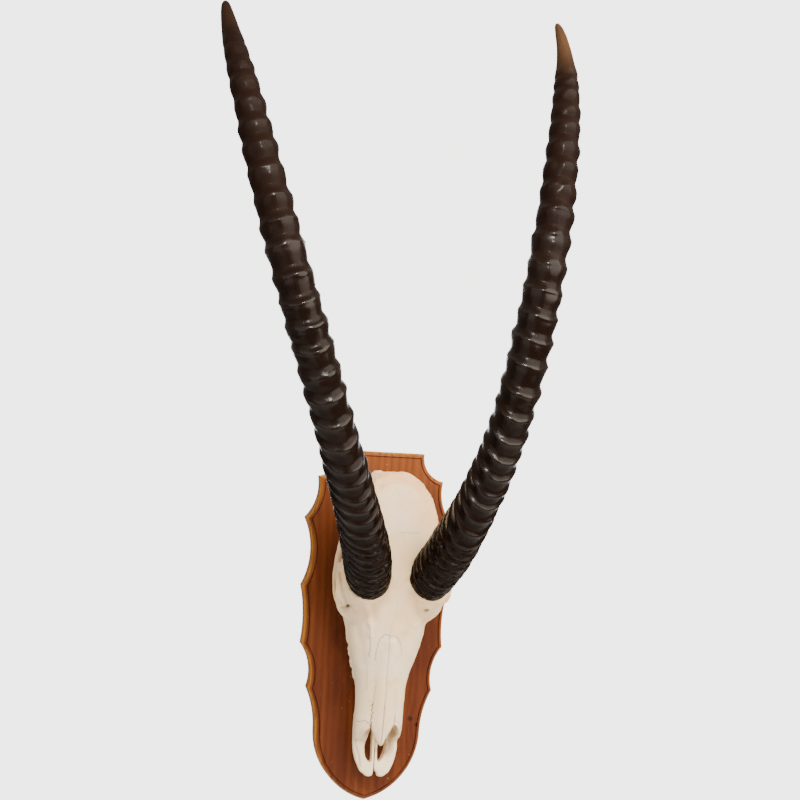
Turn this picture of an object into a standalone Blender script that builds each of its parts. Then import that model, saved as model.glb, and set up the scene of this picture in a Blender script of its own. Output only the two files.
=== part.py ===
"""Sable antelope skull mount: a skull with two ringed horns on a wooden wall shield.

Frame: +Z up, +X to the viewer's right, -Y toward the viewer. The wall is the plane Y = 0, which
is also the back of the shield, and the origin is in the middle of that back.
Drawing sizes below are in centimetres. A place on the skull is given as (x, z, height), where
height is the distance from the front of the shield toward the viewer.
"""
import math

import bmesh
import bpy
from mathutils import Matrix, Vector

CM = 0.01
GAP = 0.03                     # clearance between pieces that touch
WELD = 0.00002                 # metres; points nearer than this are one
SHARP_ANGLE = 35.0             # edges that turn by more than this stay crisp
FACING = 0.9                   # a face or edge this much along an axis counts as along it

# Shield: half outline from the top to the tip, mirrored in x
SHIELD_THICK = 2.2
SHIELD_CORNERS = ((6.1, 24.8), (9.15, 20.9), (10.8, 14.9), (10.8, 5.2), (10.4, -3.1),
                  (9.2, -9.4), (7.75, -15.4))
SHIELD_HOLLOWS = (1.0, 0.75, 1.15, 0.4, 0.8, 0.35)      # depth of the hollow between two corners
SHIELD_FOOT_CENTRE = (-2.45, -15.4)
SHIELD_FOOT_RADIUS = 10.2
SHIELD_STEPS = 5               # straight steps in one hollow
SHIELD_FOOT_STEPS = 7
ROUTED_EDGE = ((0.15, 0.28), (0.38, 0.35), (0.09, -0.12))      # inset and rise of each step

# Horns: stations are (share of the length from the base, value)
HORN_LENGTH = 86.5
HORN_STEPS = 240
HORN_SIDES = 12
HORN_BASE_X = {"left": -4.3, "right": 4.28}
HORN_BASE_Z = {"left": 8.05, "right": 8.15}
HORN_BASE_HEIGHT = 12.3
HORN_LEAN = ((0, 54), (0.06, 46), (0.12, 37), (0.2, 25), (0.35, 7), (0.5, -5), (0.65, -12),
             (0.8, -19), (0.9, -28), (1, -42))          # degrees toward the viewer
HORN_SPLAY = {                                          # degrees away from the middle
    "left": ((0, 11), (0.1, 18.5), (0.2, 21.7), (0.35, 20.1), (0.5, 18.5), (0.65, 15.5),
             (0.8, 13), (0.9, 11), (1, 2)),
    "right": ((0, 11), (0.1, 12), (0.2, 14), (0.35, 10.7), (0.5, 10), (0.65, 8.4), (0.8, 6.9),
              (0.9, 3.5), (1, -3.3)),
}
HORN_SHAFT = ((0, 2.88), (0.03, 3.1), (0.09, 3.12), (0.18, 2.78), (0.3, 2.54), (0.45, 2.54),
              (0.55, 2.43), (0.65, 2.29), (0.72, 2.14), (0.8, 1.91))
HORN_HALF_WIDTH = {
    "left": HORN_SHAFT + ((0.88, 1.58), (0.94, 1.17), (0.97, 0.88), (0.99, 0.62), (1, 0.3)),
    "right": HORN_SHAFT + ((0.88, 1.5), (0.94, 0.98), (0.97, 0.76), (0.99, 0.52), (1, 0.28)),
}
HORN_DEPTH_RATIO = ((0, 1.2), (0.3, 1.12), (0.7, 1.05), (1, 1.0))
RING_PLACES = {                                         # lengths from the base, at the horn's sides
    "left": (0.6, 2.1, 3.7, 5.1, 6.4, 7.6, 8.9, 10.1, 11.3, 12.5, 14.1, 15.9, 17.5, 19.0, 20.9,
             22.9, 25.5, 28.2, 31.2, 34.0, 37.0, 39.9, 43.0, 46.2, 49.8, 52.8, 56.0, 59.6, 63.0,
             65.9, 69.0, 72.2, 74.6, 77.1, 79.1),
    "right": (0.6, 2.0, 3.4, 4.8, 6.2, 7.5, 8.8, 10.0, 11.2, 12.8, 14.7, 16.6, 18.4, 20.1, 22.2,
              24.3, 26.6, 29.4, 32.3, 35.6, 38.7, 41.8, 45.1, 48.4, 52.0, 55.5, 58.7, 61.8, 64.8,
              67.8, 70.3, 72.8, 74.8, 76.7),
}
RING_DIP = ((0, 0.0), (0.09, 1.9), (0.23, 2.0), (0.3, 1.65), (0.43, 0.9), (0.52, 0.75), (0.6, 0.0),
            (1, 0.0))          # how far a ring's front lies nearer the base than its sides
RING_RISE = ((0, 0.14), (0.1, 0.18), (0.2, 0.28), (0.35, 0.35), (0.7, 0.34), (0.85, 0.24),
             (0.92, 0.12), (1, 0.06))
RING_BACK_SHARE = 0.5          # a ring's rise on the back of the horn, as a share of the front's
CLOSE_RINGS = 1.7              # rings nearer than this get one loop between them, others two
CLOSE_GAP = ((0.5, 0.0),)      # loops of a gap as (share of the gap, share of the ring's rise)
WIDE_GAP = ((0.17, 0.06), (0.8, 0.45))
TIP_LOOPS = ((0.08, 0.06), (0.35, 0.0), (0.65, 0.0), (0.87, 0.0), (1.0, 0.0))    # past the last ring
SEAT_PLACES = (1.5, 3.5, 6.0, 11.0)     # lengths up the horn along which the skull is kept clear
SEAT_SWELL = 0.2

# Skull: sections across it as (z, half width, top height, bottom height)
CRANIUM = ((22.35, 1.6, 8.2, 6.5), (21.8, 2.9, 9.0, 4.4), (20.5, 4.35, 10.0, 3.2),
           (18.8, 5.45, 11.0, 2.8), (16.3, 6.15, 12.0, 2.9), (13.5, 6.0, 12.9, 3.4),
           (11.0, 5.2, 13.4, 4.0), (8.5, 4.4, 13.5, 4.6), (5.5, 4.6, 13.0, 4.2),
           (3.4, 5.3, 12.4, 3.4), (1.6, 5.3, 11.7, 2.6), (0.0, 5.35, 11.1, 2.2),
           (-1.8, 5.0, 10.5, 2.1), (-3.9, 4.4, 9.7, 2.0), (-5.6, 3.85, 9.1, 2.0),
           (-7.5, 3.5, 8.5, 2.0), (-10.0, 3.4, 7.7, 2.2), (-13.2, 3.4, 6.7, 2.3),
           (-16.0, 3.25, 5.7, 2.2), (-18.2, 2.85, 4.6, 2.2))
CRANIUM_SIDES = 32
SECTION_SQUARING = 0.78
CAVITY_SIDES = 20
# Plates that arch from side to side as (z, half width, height of the middle, x of the middle)
ROOF = ((13.2, 5.4, 12.5, 0.0), (11.6, 7.0, 12.9, 0.0), (9.3, 7.8, 13.2, 0.0),
        (6.8, 7.95, 13.1, 0.0), (4.7, 7.4, 12.6, 0.0), (3.1, 6.4, 12.0, 0.0), (1.2, 5.0, 11.3, 0.0))
ROOF_DROP = 2.5
ROOF_THICK = 1.4
NASALS = ((-0.8, 0.9, 11.2, 0.0), (-2.6, 1.75, 10.55, 0.0), (-5.5, 1.9, 9.55, 0.0),
          (-9.0, 1.75, 8.4, 0.0), (-12.0, 1.6, 7.45, 0.08), (-13.9, 1.45, 6.9, 0.18),
          (-15.2, 0.75, 6.45, 0.08), (-16.2, 0.3, 6.15, 0.15))
NASALS_DROP = 0.75
NASALS_THICK = 0.7
ARCH_STEPS = 8
ARCH_POWER = 2.3               # how late a plate turns down toward its sides
NOSE_CAVITY = ((-6.5, 0.8, 6.8, 5.0), (-9.0, 1.3, 6.9, 3.9), (-12.0, 1.55, 6.5, 3.6),
               (-15.0, 1.75, 6.2, 3.4), (-18.0, 1.7, 5.9, 3.3), (-22.0, 1.6, 5.6, 3.2))
NOSE_CUT_TOP = (-13.4, 6.8)    # z and height where the slanting nose opening starts
NOSE_CUT_ANGLE = 38.0
NOSE_CUT_SIZE = 12.0
NOSE_PLATE = ((3.0, -11.5), (3.25, -14.5), (3.2, -17.3), (2.85, -18.9), (2.15, -20.4),
              (1.15, -21.2), (0.4, -21.2), (0.12, -19.9))
NOSE_PLATE_HEIGHT = 2.75
NOSE_PLATE_THICK = 1.3
NOSE_PLATE_SLOPE = 1.5
NOSE_PLATE_PIVOT = -18.9
PALATE_SLIT = ((0.44, -13.6), (0.75, -13.8), (1.4, -15.8), (1.62, -16.9), (1.5, -18.2),
               (1.15, -18.85), (0.65, -19.1), (0.46, -18.8))    # on the right, mirrored on the left
NASAL_SLIT = ((-1.45, -12.7), (-1.6, -13.4), (-1.85, -14.5), (-2.1, -15.6), (-0.7, -15.6),
              (-1.05, -14.4), (-1.25, -13.8), (-1.38, -13.2))   # between the nasal bone and the left
NOSE_NOTCH = ((-0.26, -19.2), (-0.31, -19.95), (-0.3, -21.8), (0.6, -21.8), (-0.09, -19.95),
              (-0.18, -19.2))
NOSE_CUT_DEPTH = 5.0
NASAL_SLIT_HEIGHT = 7.0
NOSE_DRIFT = (-4.0, 0.032)     # below this z the nose leans to the right by this share
ORBIT = {"centre": (7.6, 7.0, 8.25), "ring": 2.3, "rim": 0.45, "turn": -6.0}
ORBIT_HOLLOW = (3.9, 2.15, 2.0)
ORBIT_SEGMENTS = (28, 10)
BALL_SEGMENTS = (20, 12)
TUBE_ROUNDNESS = 3
CHEEK_BONE = ((5.7, 3.9, 7.9), (1.4, 1.5, 2.2))
ZYGOMATIC = ((4.3, -1.6, 5.4, 0.9), (4.8, 1.0, 5.9, 0.95), (5.9, 3.6, 5.9, 0.8),
             (7.1, 6.2, 5.6, 0.6), (7.2, 9.2, 5.8, 0.55), (6.9, 12.0, 6.2, 0.5),
             (6.2, 14.6, 6.4, 0.65), (5.4, 16.4, 6.3, 0.8))      # x, z, height, radius
CHEEK_RIDGE = ((1.95, -9.6, 2.75, 0.9), (2.35, -6.5, 2.7, 1.1), (2.9, -3.0, 2.7, 1.3),
               (3.05, 0.2, 2.7, 1.3), (2.9, 2.0, 2.8, 1.1))
SIDE_PROCESS = ((3.9, 19.2, 4.6, 0.9), (3.6, 19.4, 2.6, 0.6), (3.35, 19.5, 0.7, 0.4))
PALATE_WING = ((2.0, 1.6, 3.4, 0.7), (1.8, 4.6, 3.5, 0.6), (1.7, 8.0, 3.9, 0.55),
               (1.8, 10.6, 4.6, 0.5))
CONDYLE = ((1.75, 21.2, 4.0), (1.2, 1.15, 1.4))
EAR_BULB = ((2.5, 16.9, 2.9), (1.0, 1.5, 1.2))
SPINAL_OPENING = ((0.0, 22.6, 5.6), (1.15, 2.6, 1.05))
PEDICLE_RADIUS = 3.05
PEDICLE_FLARE = 1.12           # the stump's foot is this much wider
PEDICLE_SEGMENTS = 24
PEDICLE_LENGTH = 6.0
PEDICLE_RISE = 0.08            # how far the stump reaches past the horn's seat before it is cut
VOXEL = 0.34
SMOOTH_PASSES = 4
SMOOTH_FACTOR = 0.5
SKULL_KEEP = 0.07              # share of the skull's fine triangles that is kept

# Cheek teeth, from the nose backward
TOOTH_LENGTHS = (1.3, 1.4, 1.35, 1.8, 2.15, 2.2)
TOOTH_WIDTHS = (1.0, 1.2, 1.3, 1.55, 1.65, 1.55)
TOOTH_ROW = ((-8.9, 1.9), (-6.5, 2.35), (-3.0, 2.9), (0.0, 3.05), (1.6, 2.95))   # z and x
TOOTH_ROW_START = -8.9
TOOTH_HEIGHT = 1.65
TOOTH_ROUNDING = 0.18
TOOTH_SEAT_WIDTH = 9.0
TOOTH_SEAT_REACH = 1.0         # how far the seat runs past both ends of the row

# Hanger let into the back of the shield
HANGER_Z = 17.0
HANGER_SIZE = (4.6, 1.7, 0.15)
HANGER_SLOT = (0.9, 0.5)
HANGER_SUNK = 0.2              # from the back of the shield to the plate
HANGER_WELL_DEPTH = 0.95
HANGER_WELL = (0.9, 0.68)      # half width and half height of the well behind the slot
HANGER_SCREW_X = 1.8
SCREW_RADIUS = 0.16
SCREW_HEAD_RADIUS = 0.33
SCREW_LENGTH = 1.5
SCREW_HEAD_TOP = (0.23, 0.04)  # radius of the flat on the head, and how far it lies inside the back
SCREW_HEAD_EDGE = 0.1          # how far inside the back the head is widest
SCREW_POINT = 1.27             # where the shank starts to narrow to its point
SCREW_SIDES = 8


def clear_scene():
    """Remove every object that the file starts with."""
    for found in list(bpy.data.objects):
        bpy.data.objects.remove(found, do_unlink=True)


def make_collection(name):
    """Add a collection to the scene and return it."""
    made = bpy.data.collections.new(name)
    bpy.context.scene.collection.children.link(made)
    return made


def make_material(name, colour, roughness, metallic=0.0):
    """Return a Principled material with one colour."""
    made = bpy.data.materials.new(name)
    made.use_nodes = True
    shader = made.node_tree.nodes["Principled BSDF"]
    shader.inputs["Base Color"].default_value = (*colour, 1.0)
    shader.inputs["Roughness"].default_value = roughness
    shader.inputs["Metallic"].default_value = metallic
    made.diffuse_color = (*colour, 1.0)
    return made


def place(x, z, height):
    """Return the point, in metres, at x and z in centimetres and a height above the shield."""
    return Vector((x, -(SHIELD_THICK + height), z)) * CM


def add_object(name, mesh, collection, material=None):
    """Put a mesh in the scene as a smooth-shaded object."""
    made = bpy.data.objects.new(name, mesh)
    collection.objects.link(made)
    if material is not None:
        mesh.materials.clear()
        mesh.materials.append(material)
        mesh.shade_smooth()
        mesh.set_sharp_from_angle(angle=math.radians(SHARP_ANGLE))
    return made


def add_cutter(name, mesh):
    """Put a mesh among the cutters, drawn as wires and left out of the render."""
    made = add_object(name, mesh, CUTTERS)
    made.hide_render = True
    made.display_type = "WIRE"
    return made


def mesh_from(bm, name):
    """Turn a bmesh into a mesh whose faces point outward."""
    bmesh.ops.recalc_face_normals(bm, faces=bm.faces)
    made = bpy.data.meshes.new(name)
    bm.to_mesh(made)
    bm.free()
    return made


def evaluated_mesh(source):
    """Return an object's mesh with its modifiers applied, in world space, and remove the object."""
    bpy.context.view_layer.update()
    graph = bpy.context.evaluated_depsgraph_get()
    made = bpy.data.meshes.new_from_object(source.evaluated_get(graph))
    made.transform(source.matrix_world)
    bpy.data.objects.remove(source, do_unlink=True)
    return made


def joined_mesh(meshes, name):
    """Return one mesh that holds all the given meshes, welding each curve's loose caps."""
    bm = bmesh.new()
    for mesh in meshes:
        bm.from_mesh(mesh)
    bmesh.ops.remove_doubles(bm, verts=bm.verts, dist=WELD)
    return mesh_from(bm, name)


def add_boolean(target, cutter):
    """Cut one object by another."""
    modifier = target.modifiers.new(cutter.name, "BOOLEAN")
    modifier.operation = "DIFFERENCE"
    modifier.object = cutter
    modifier.solver = "EXACT"


def smooth_value(stations, position):
    """Return the value at a position on a smooth curve through (position, value) stations."""
    last = len(stations) - 1
    span = 0
    while span < last - 1 and position > stations[span + 1][0]:
        span += 1
    slopes = []
    for index in (span, span + 1):
        before = stations[max(index - 1, 0)]
        after = stations[min(index + 1, last)]
        slopes.append((after[1] - before[1]) / (after[0] - before[0]))
    start, end = stations[span], stations[span + 1]
    width = end[0] - start[0]
    t = min(max((position - start[0]) / width, 0.0), 1.0)
    blend = (2 * t ** 3 - 3 * t ** 2 + 1, t ** 3 - 2 * t ** 2 + t,
             -2 * t ** 3 + 3 * t ** 2, t ** 3 - t ** 2)
    return (blend[0] * start[1] + blend[1] * width * slopes[0]
            + blend[2] * end[1] + blend[3] * width * slopes[1])


def loft(name, sections):
    """Return a closed mesh that skins rings of points, which all have the same count."""
    bm = bmesh.new()
    rings = [[bm.verts.new(point) for point in ring] for ring in sections]
    count = len(rings[0])
    for lower, upper in zip(rings, rings[1:]):
        for index in range(count):
            after = (index + 1) % count
            bm.faces.new((lower[index], lower[after], upper[after], upper[index]))
    for ring in (rings[0], rings[-1]):
        cap = bm.faces.new(ring)
        bmesh.ops.triangulate(bm, faces=[cap])
    return mesh_from(bm, name)


def shield_hollow(start, end, depth):
    """Return the points of a hollow arc between two corners, without its end point."""
    (x0, z0), (x1, z1) = start, end
    chord = math.hypot(x1 - x0, z1 - z0)
    inward = ((z1 - z0) / chord, -(x1 - x0) / chord)
    radius = (chord ** 2 / 4 + depth ** 2) / (2 * depth)
    points = []
    for step in range(SHIELD_STEPS):
        along = step / SHIELD_STEPS
        reach = (along - 0.5) * chord
        bulge = math.sqrt(radius ** 2 - reach ** 2) - (radius - depth)
        points.append((x0 + along * (x1 - x0) + inward[0] * bulge,
                       z0 + along * (z1 - z0) + inward[1] * bulge))
    return points


def shield_outline():
    """Return the shield's outline as (x, z) points, from the top right corner round to the left."""
    half = []
    for start, end, depth in zip(SHIELD_CORNERS, SHIELD_CORNERS[1:], SHIELD_HOLLOWS):
        half += shield_hollow(start, end, depth)
    centre_x, centre_z = SHIELD_FOOT_CENTRE
    tip_angle = math.acos(-centre_x / SHIELD_FOOT_RADIUS)
    for step in range(SHIELD_FOOT_STEPS):
        angle = tip_angle * step / SHIELD_FOOT_STEPS
        half.append((centre_x + SHIELD_FOOT_RADIUS * math.cos(angle),
                     centre_z - SHIELD_FOOT_RADIUS * math.sin(angle)))
    tip = (0.0, centre_z - SHIELD_FOOT_RADIUS * math.sin(tip_angle))
    return half + [tip] + [(-x, z) for x, z in reversed(half)]


def flat_plate(name, outlines, thickness):
    """Return a filled flat curve's mesh in the XZ plane, centred on Y = 0, holes included."""
    curve = bpy.data.curves.new(name, "CURVE")
    curve.dimensions = "2D"
    curve.fill_mode = "BOTH"
    curve.extrude = thickness * CM / 2
    for outline in outlines:
        spline = curve.splines.new("POLY")
        spline.points.add(len(outline) - 1)
        for point, (x, z) in zip(spline.points, outline):
            point.co = (x * CM, z * CM, 0.0, 1.0)
        spline.use_cyclic_u = True
    flat = add_object(name, curve, CUTTERS)
    flat.rotation_euler = (math.radians(90), 0.0, 0.0)
    return joined_mesh([evaluated_mesh(flat)], name)


def rectangle(half_width, half_height):
    """Return a rectangle's corners round the origin."""
    return [(-half_width, -half_height), (half_width, -half_height),
            (half_width, half_height), (-half_width, half_height)]


def make_shield():
    """Build the board, its routed edge and the pocket for the hanger."""
    slab = SHIELD_THICK - sum(rise for _, rise in ROUTED_EDGE)
    mesh = flat_plate("shield", [shield_outline()], slab)
    mesh.transform(Matrix.Translation((0.0, -slab * CM / 2, 0.0)))
    bm = bmesh.new()
    bm.from_mesh(mesh)
    front = [face for face in bm.faces if face.normal.y < -FACING]
    bmesh.ops.dissolve_faces(bm, faces=front, use_verts=False)
    bm.faces.ensure_lookup_table()
    front = [face for face in bm.faces if face.normal.y < -FACING]
    for inset, rise in ROUTED_EDGE:
        bmesh.ops.inset_region(bm, faces=front, thickness=inset * CM, depth=rise * CM,
                               use_even_offset=True)
    shield = add_object("shield", mesh_from(bm, "shield"), PARTS, WOOD)
    width, height, thick = HANGER_SIZE
    pocket_depth = HANGER_SUNK + thick + GAP
    cuts = [("hanger_pocket", width / 2 + GAP, height / 2 + GAP, pocket_depth),
            ("hanger_well", *HANGER_WELL, HANGER_WELL_DEPTH)]
    for name, half_width, half_height, depth in cuts:
        mesh = flat_plate(name, [rectangle(half_width, half_height)], 2 * depth)
        mesh.transform(Matrix.Translation((0.0, 0.0, HANGER_Z * CM)))
        add_boolean(shield, add_cutter(name, mesh))
    radius = SCREW_RADIUS + GAP
    for side in (-1, 1):
        mesh = turned_mesh("screw_hole", ((0.0, 0.0), (radius, 0.0), (radius, SCREW_LENGTH + GAP),
                                          (0.0, SCREW_LENGTH + GAP)))
        mesh.transform(Matrix.Translation((side * HANGER_SCREW_X * CM, 0.0, HANGER_Z * CM)))
        add_boolean(shield, add_cutter("screw_hole", mesh))


def turned_mesh(name, profile):
    """Return a solid turned about the Y axis from (radius, distance in front of the wall) points."""
    bm = bmesh.new()
    points = [bm.verts.new((radius * CM, -ahead * CM, 0.0)) for radius, ahead in profile]
    lines = [bm.edges.new(pair) for pair in zip(points, points[1:])]
    bmesh.ops.spin(bm, geom=points + lines, cent=(0.0, 0.0, 0.0), axis=(0.0, 1.0, 0.0),
                   angle=2 * math.pi, steps=SCREW_SIDES, use_merge=True)
    bmesh.ops.remove_doubles(bm, verts=bm.verts, dist=WELD)
    return mesh_from(bm, name)


def make_hanger():
    """Build the hanging plate with its slot, and the two screws that hold it."""
    width, height, thick = HANGER_SIZE
    half_slot, half_rise = HANGER_SLOT[0] / 2, HANGER_SLOT[1] / 2
    outlines = [rectangle(width / 2, height / 2), rectangle(half_slot, half_rise)]
    for side in (-1, 1):
        turn = [2 * math.pi * step / SCREW_SIDES for step in range(SCREW_SIDES)]
        radius = SCREW_RADIUS + GAP
        outlines.append([(side * HANGER_SCREW_X + radius * math.cos(angle), radius * math.sin(angle))
                         for angle in turn])
    mesh = flat_plate("hanger_plate", outlines, thick)
    mesh.transform(Matrix.Translation((0.0, -(HANGER_SUNK + thick / 2) * CM, HANGER_Z * CM)))
    add_object("hanger_plate", mesh, PARTS, STEEL)
    under_head = HANGER_SUNK - GAP
    for name, side in (("left", -1), ("right", 1)):
        mesh = turned_mesh("screw", ((0.0, SCREW_HEAD_TOP[1]), SCREW_HEAD_TOP,
                                     (SCREW_HEAD_RADIUS, SCREW_HEAD_EDGE),
                                     (SCREW_HEAD_RADIUS, under_head), (SCREW_RADIUS, under_head),
                                     (SCREW_RADIUS, SCREW_POINT), (0.0, SCREW_LENGTH)))
        mesh.transform(Matrix.Translation((side * HANGER_SCREW_X * CM, 0.0, HANGER_Z * CM)))
        add_object("hanger_screw_" + name, mesh, PARTS, STEEL)


def horn_base(side):
    """Return the middle of a horn's flat base."""
    return place(HORN_BASE_X[side], HORN_BASE_Z[side], HORN_BASE_HEIGHT)


def horn_direction(side, share):
    """Return the unit direction of a horn's middle line at a share of its length."""
    sign = -1 if side == "left" else 1
    lean = math.radians(smooth_value(HORN_LEAN, share))
    splay = math.radians(smooth_value(HORN_SPLAY[side], share))
    return Vector((sign * math.sin(splay), -math.cos(splay) * math.sin(lean),
                   math.cos(splay) * math.cos(lean)))


def horn_line(side):
    """Return the horn's middle line as points, HORN_STEPS apart, from the base to the tip."""
    points = [horn_base(side)]
    step = HORN_LENGTH * CM / HORN_STEPS
    for index in range(HORN_STEPS):
        points.append(points[-1] + horn_direction(side, (index + 0.5) / HORN_STEPS) * step)
    return points


def horn_point(line, side, along):
    """Return the point on the middle line at a length from the base, or a little before it."""
    if along < 0:
        return line[0] + horn_direction(side, 0.0) * along * CM
    steps = along / HORN_LENGTH * HORN_STEPS
    index = min(int(steps), HORN_STEPS - 1)
    return line[index].lerp(line[index + 1], steps - index)


def horn_ring(line, side, along, rise=0.0, swell=0.0):
    """Return the points of one section of a horn.

    The section dips toward the base at its front, as the rings do. rise lifts it as a ring does,
    most on the front, and swell adds all round.
    """
    dip = smooth_value(RING_DIP, min(max(along / HORN_LENGTH, 0.0), 1.0))
    points = []
    for index in range(HORN_SIDES):
        angle = 2 * math.pi * index / HORN_SIDES
        here = along - dip * math.cos(angle)
        share = min(max(here / HORN_LENGTH, 0.0), 1.0)
        tangent = horn_direction(side, share)
        front = Vector((0.0, -1.0, 0.0))
        front = (front - tangent * front.dot(tangent)).normalized()
        half_width = smooth_value(HORN_HALF_WIDTH[side], share)
        depth = half_width * smooth_value(HORN_DEPTH_RATIO, share)
        facing = 0.5 + 0.5 * math.cos(angle)
        lift = rise * (RING_BACK_SHARE + (1 - RING_BACK_SHARE) * facing) + swell
        offset = (front * math.cos(angle) * (depth + lift)
                  + tangent.cross(front) * math.sin(angle) * (half_width + lift))
        points.append(horn_point(line, side, here) + offset * CM)
    return points


def horn_loops(side):
    """Return (length from the base, rise) of each loop of a horn."""
    rings = RING_PLACES[side]
    loops = [(0.0, 0.0)]
    for place_now, place_next in zip(rings, rings[1:] + (HORN_LENGTH,)):
        gap = place_next - place_now
        rise = smooth_value(RING_RISE, place_now / HORN_LENGTH)
        between = CLOSE_GAP if gap < CLOSE_RINGS else WIDE_GAP
        if place_now == rings[-1]:
            between = TIP_LOOPS
        loops.append((place_now, rise))
        loops += [(place_now + gap * share, rise * part) for share, part in between]
    return loops


def make_horn(side):
    """Build one horn with its rings."""
    line = horn_line(side)
    sections = [horn_ring(line, side, along, rise) for along, rise in horn_loops(side)]
    add_object("horn_" + side, loft("horn_" + side, sections), PARTS, HORN)


def horn_clearance(side):
    """Return a cutter a little larger than the horn's foot."""
    line = horn_line(side)
    sections = [horn_ring(line, side, along, swell=SEAT_SWELL + GAP)
                for along in (-GAP, *SEAT_PLACES)]
    return add_cutter("seat_" + side, loft("seat_" + side, sections))


def rounded_section(z, half_width, top, bottom, sides):
    """Return one oval section across the skull, squarer than an ellipse."""
    middle, half_height = (top + bottom) / 2, (top - bottom) / 2
    points = []
    for index in range(sides):
        angle = 2 * math.pi * index / sides
        squared = [math.copysign(abs(part) ** SECTION_SQUARING, part)
                   for part in (math.cos(angle), math.sin(angle))]
        points.append(place(half_width * squared[0], z, middle + half_height * squared[1]))
    return points


def arched_plate(name, stations, drop, thickness):
    """Return a plate that arches down to both sides, through (z, half width, top, x) stations."""
    shares = [-1 + 2 * step / ARCH_STEPS for step in range(ARCH_STEPS + 1)]
    sections = []
    for z, half_width, top, x in stations:
        arch = [(x + share * half_width, top - drop * abs(share) ** ARCH_POWER) for share in shares]
        sections.append([place(across, z, height) for across, height in arch]
                        + [place(across, z, height - thickness) for across, height in reversed(arch)])
    return loft(name, sections)


def tube_mesh(name, route):
    """Return a round tube along (x, z, height, radius) points."""
    curve = bpy.data.curves.new(name, "CURVE")
    curve.dimensions = "3D"
    curve.bevel_depth = CM
    curve.bevel_resolution = TUBE_ROUNDNESS
    curve.use_fill_caps = True
    spline = curve.splines.new("POLY")
    spline.points.add(len(route) - 1)
    for point, (x, z, height, radius) in zip(spline.points, route):
        point.co = (*place(x, z, height), 1.0)
        point.radius = radius
    return evaluated_mesh(add_object(name, curve, CUTTERS))


def ball_mesh(name, centre, radii):
    """Return an egg-shaped mesh; centre is (x, z, height) and radii are along x, z and height."""
    bm = bmesh.new()
    around, upward = BALL_SEGMENTS
    bmesh.ops.create_uvsphere(bm, u_segments=around, v_segments=upward, radius=CM)
    bmesh.ops.scale(bm, verts=bm.verts, vec=(radii[0], radii[2], radii[1]))
    bmesh.ops.translate(bm, verts=bm.verts, vec=place(*centre))
    return mesh_from(bm, name)


def on_side(values, sign):
    """Return the same places on the left (sign -1) or right (sign 1)."""
    return [(sign * value[0], *value[1:]) for value in values]


def orbit_rim(sign):
    """Return the bony ring round an eye socket."""
    x, z, height = ORBIT["centre"]
    bpy.ops.mesh.primitive_torus_add(
        major_radius=ORBIT["ring"] * CM, minor_radius=ORBIT["rim"] * CM,
        major_segments=ORBIT_SEGMENTS[0], minor_segments=ORBIT_SEGMENTS[1],
        location=place(sign * x, z, height),
        rotation=(0.0, math.radians(90), -sign * math.radians(ORBIT["turn"])))
    return evaluated_mesh(bpy.context.object)


def pedicle(side):
    """Return the stump of the forehead that bears a horn."""
    direction = horn_direction(side, 0.0)
    bm = bmesh.new()
    bmesh.ops.create_cone(bm, cap_ends=True, segments=PEDICLE_SEGMENTS,
                          radius1=PEDICLE_RADIUS * PEDICLE_FLARE * CM,
                          radius2=PEDICLE_RADIUS * CM, depth=PEDICLE_LENGTH * CM)
    bmesh.ops.scale(bm, verts=bm.verts, vec=(1.0, HORN_DEPTH_RATIO[0][1], 1.0))
    centre = horn_base(side) - direction * (PEDICLE_LENGTH / 2 - PEDICLE_RISE) * CM
    turn = direction.to_track_quat("Z", "Y").to_matrix().to_4x4()
    bmesh.ops.transform(bm, verts=bm.verts, matrix=Matrix.Translation(centre) @ turn)
    return mesh_from(bm, "pedicle")


def muzzle_and_cranium():
    """Return the long body of the skull, hollow at the nose and open on the slant of the nose."""
    sections = [rounded_section(z, half, top, bottom, CRANIUM_SIDES)
                for z, half, top, bottom in CRANIUM]
    body = add_object("skull_body", loft("skull_body", sections), CUTTERS)
    cavity = [rounded_section(z, half, top, bottom, CAVITY_SIDES)
              for z, half, top, bottom in NOSE_CAVITY]
    add_boolean(body, add_cutter("nose_cavity", loft("nose_cavity", cavity)))
    bm = bmesh.new()
    bmesh.ops.create_cube(bm, size=NOSE_CUT_SIZE * CM)
    half = NOSE_CUT_SIZE * CM / 2
    bmesh.ops.translate(bm, verts=bm.verts, vec=(0.0, -half, -half))
    bmesh.ops.rotate(bm, verts=bm.verts,
                     matrix=Matrix.Rotation(math.radians(90 - NOSE_CUT_ANGLE), 3, "X"))
    bmesh.ops.translate(bm, verts=bm.verts, vec=place(0.0, *NOSE_CUT_TOP))
    add_boolean(body, add_cutter("nose_slant", mesh_from(bm, "nose_slant")))
    return evaluated_mesh(body)


def nose_tilt(height=NOSE_PLATE_HEIGHT):
    """Return the placing of the flat bones at the end of the nose, or of a cut at a height."""
    tilt = Matrix.Rotation(math.radians(-NOSE_PLATE_SLOPE), 4, "X")
    pivot = Matrix.Translation((0.0, 0.0, NOSE_PLATE_PIVOT * CM))
    lift = Matrix.Translation(place(0.0, 0.0, height))
    return lift @ pivot @ tilt @ pivot.inverted()


def nose_plate():
    """Return the flat bones at the end of the nose."""
    outline = NOSE_PLATE + tuple((-x, z) for x, z in reversed(NOSE_PLATE))
    mesh = flat_plate("nose_plate", [outline], NOSE_PLATE_THICK)
    mesh.transform(nose_tilt())
    return mesh


def nose_drift(z):
    """Return how far the nose leans to the right at a z."""
    return NOSE_DRIFT[1] * max(0.0, NOSE_DRIFT[0] - z)


def nose_opening(name, outline, height=NOSE_PLATE_HEIGHT):
    """Return a cutter for an opening in the nose, outlined in (x, z) and centred on a height."""
    leaning = [(x + nose_drift(z), z) for x, z in outline]
    mesh = flat_plate(name, [leaning], NOSE_CUT_DEPTH)
    mesh.transform(nose_tilt(height))
    return add_cutter(name, mesh)


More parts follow.
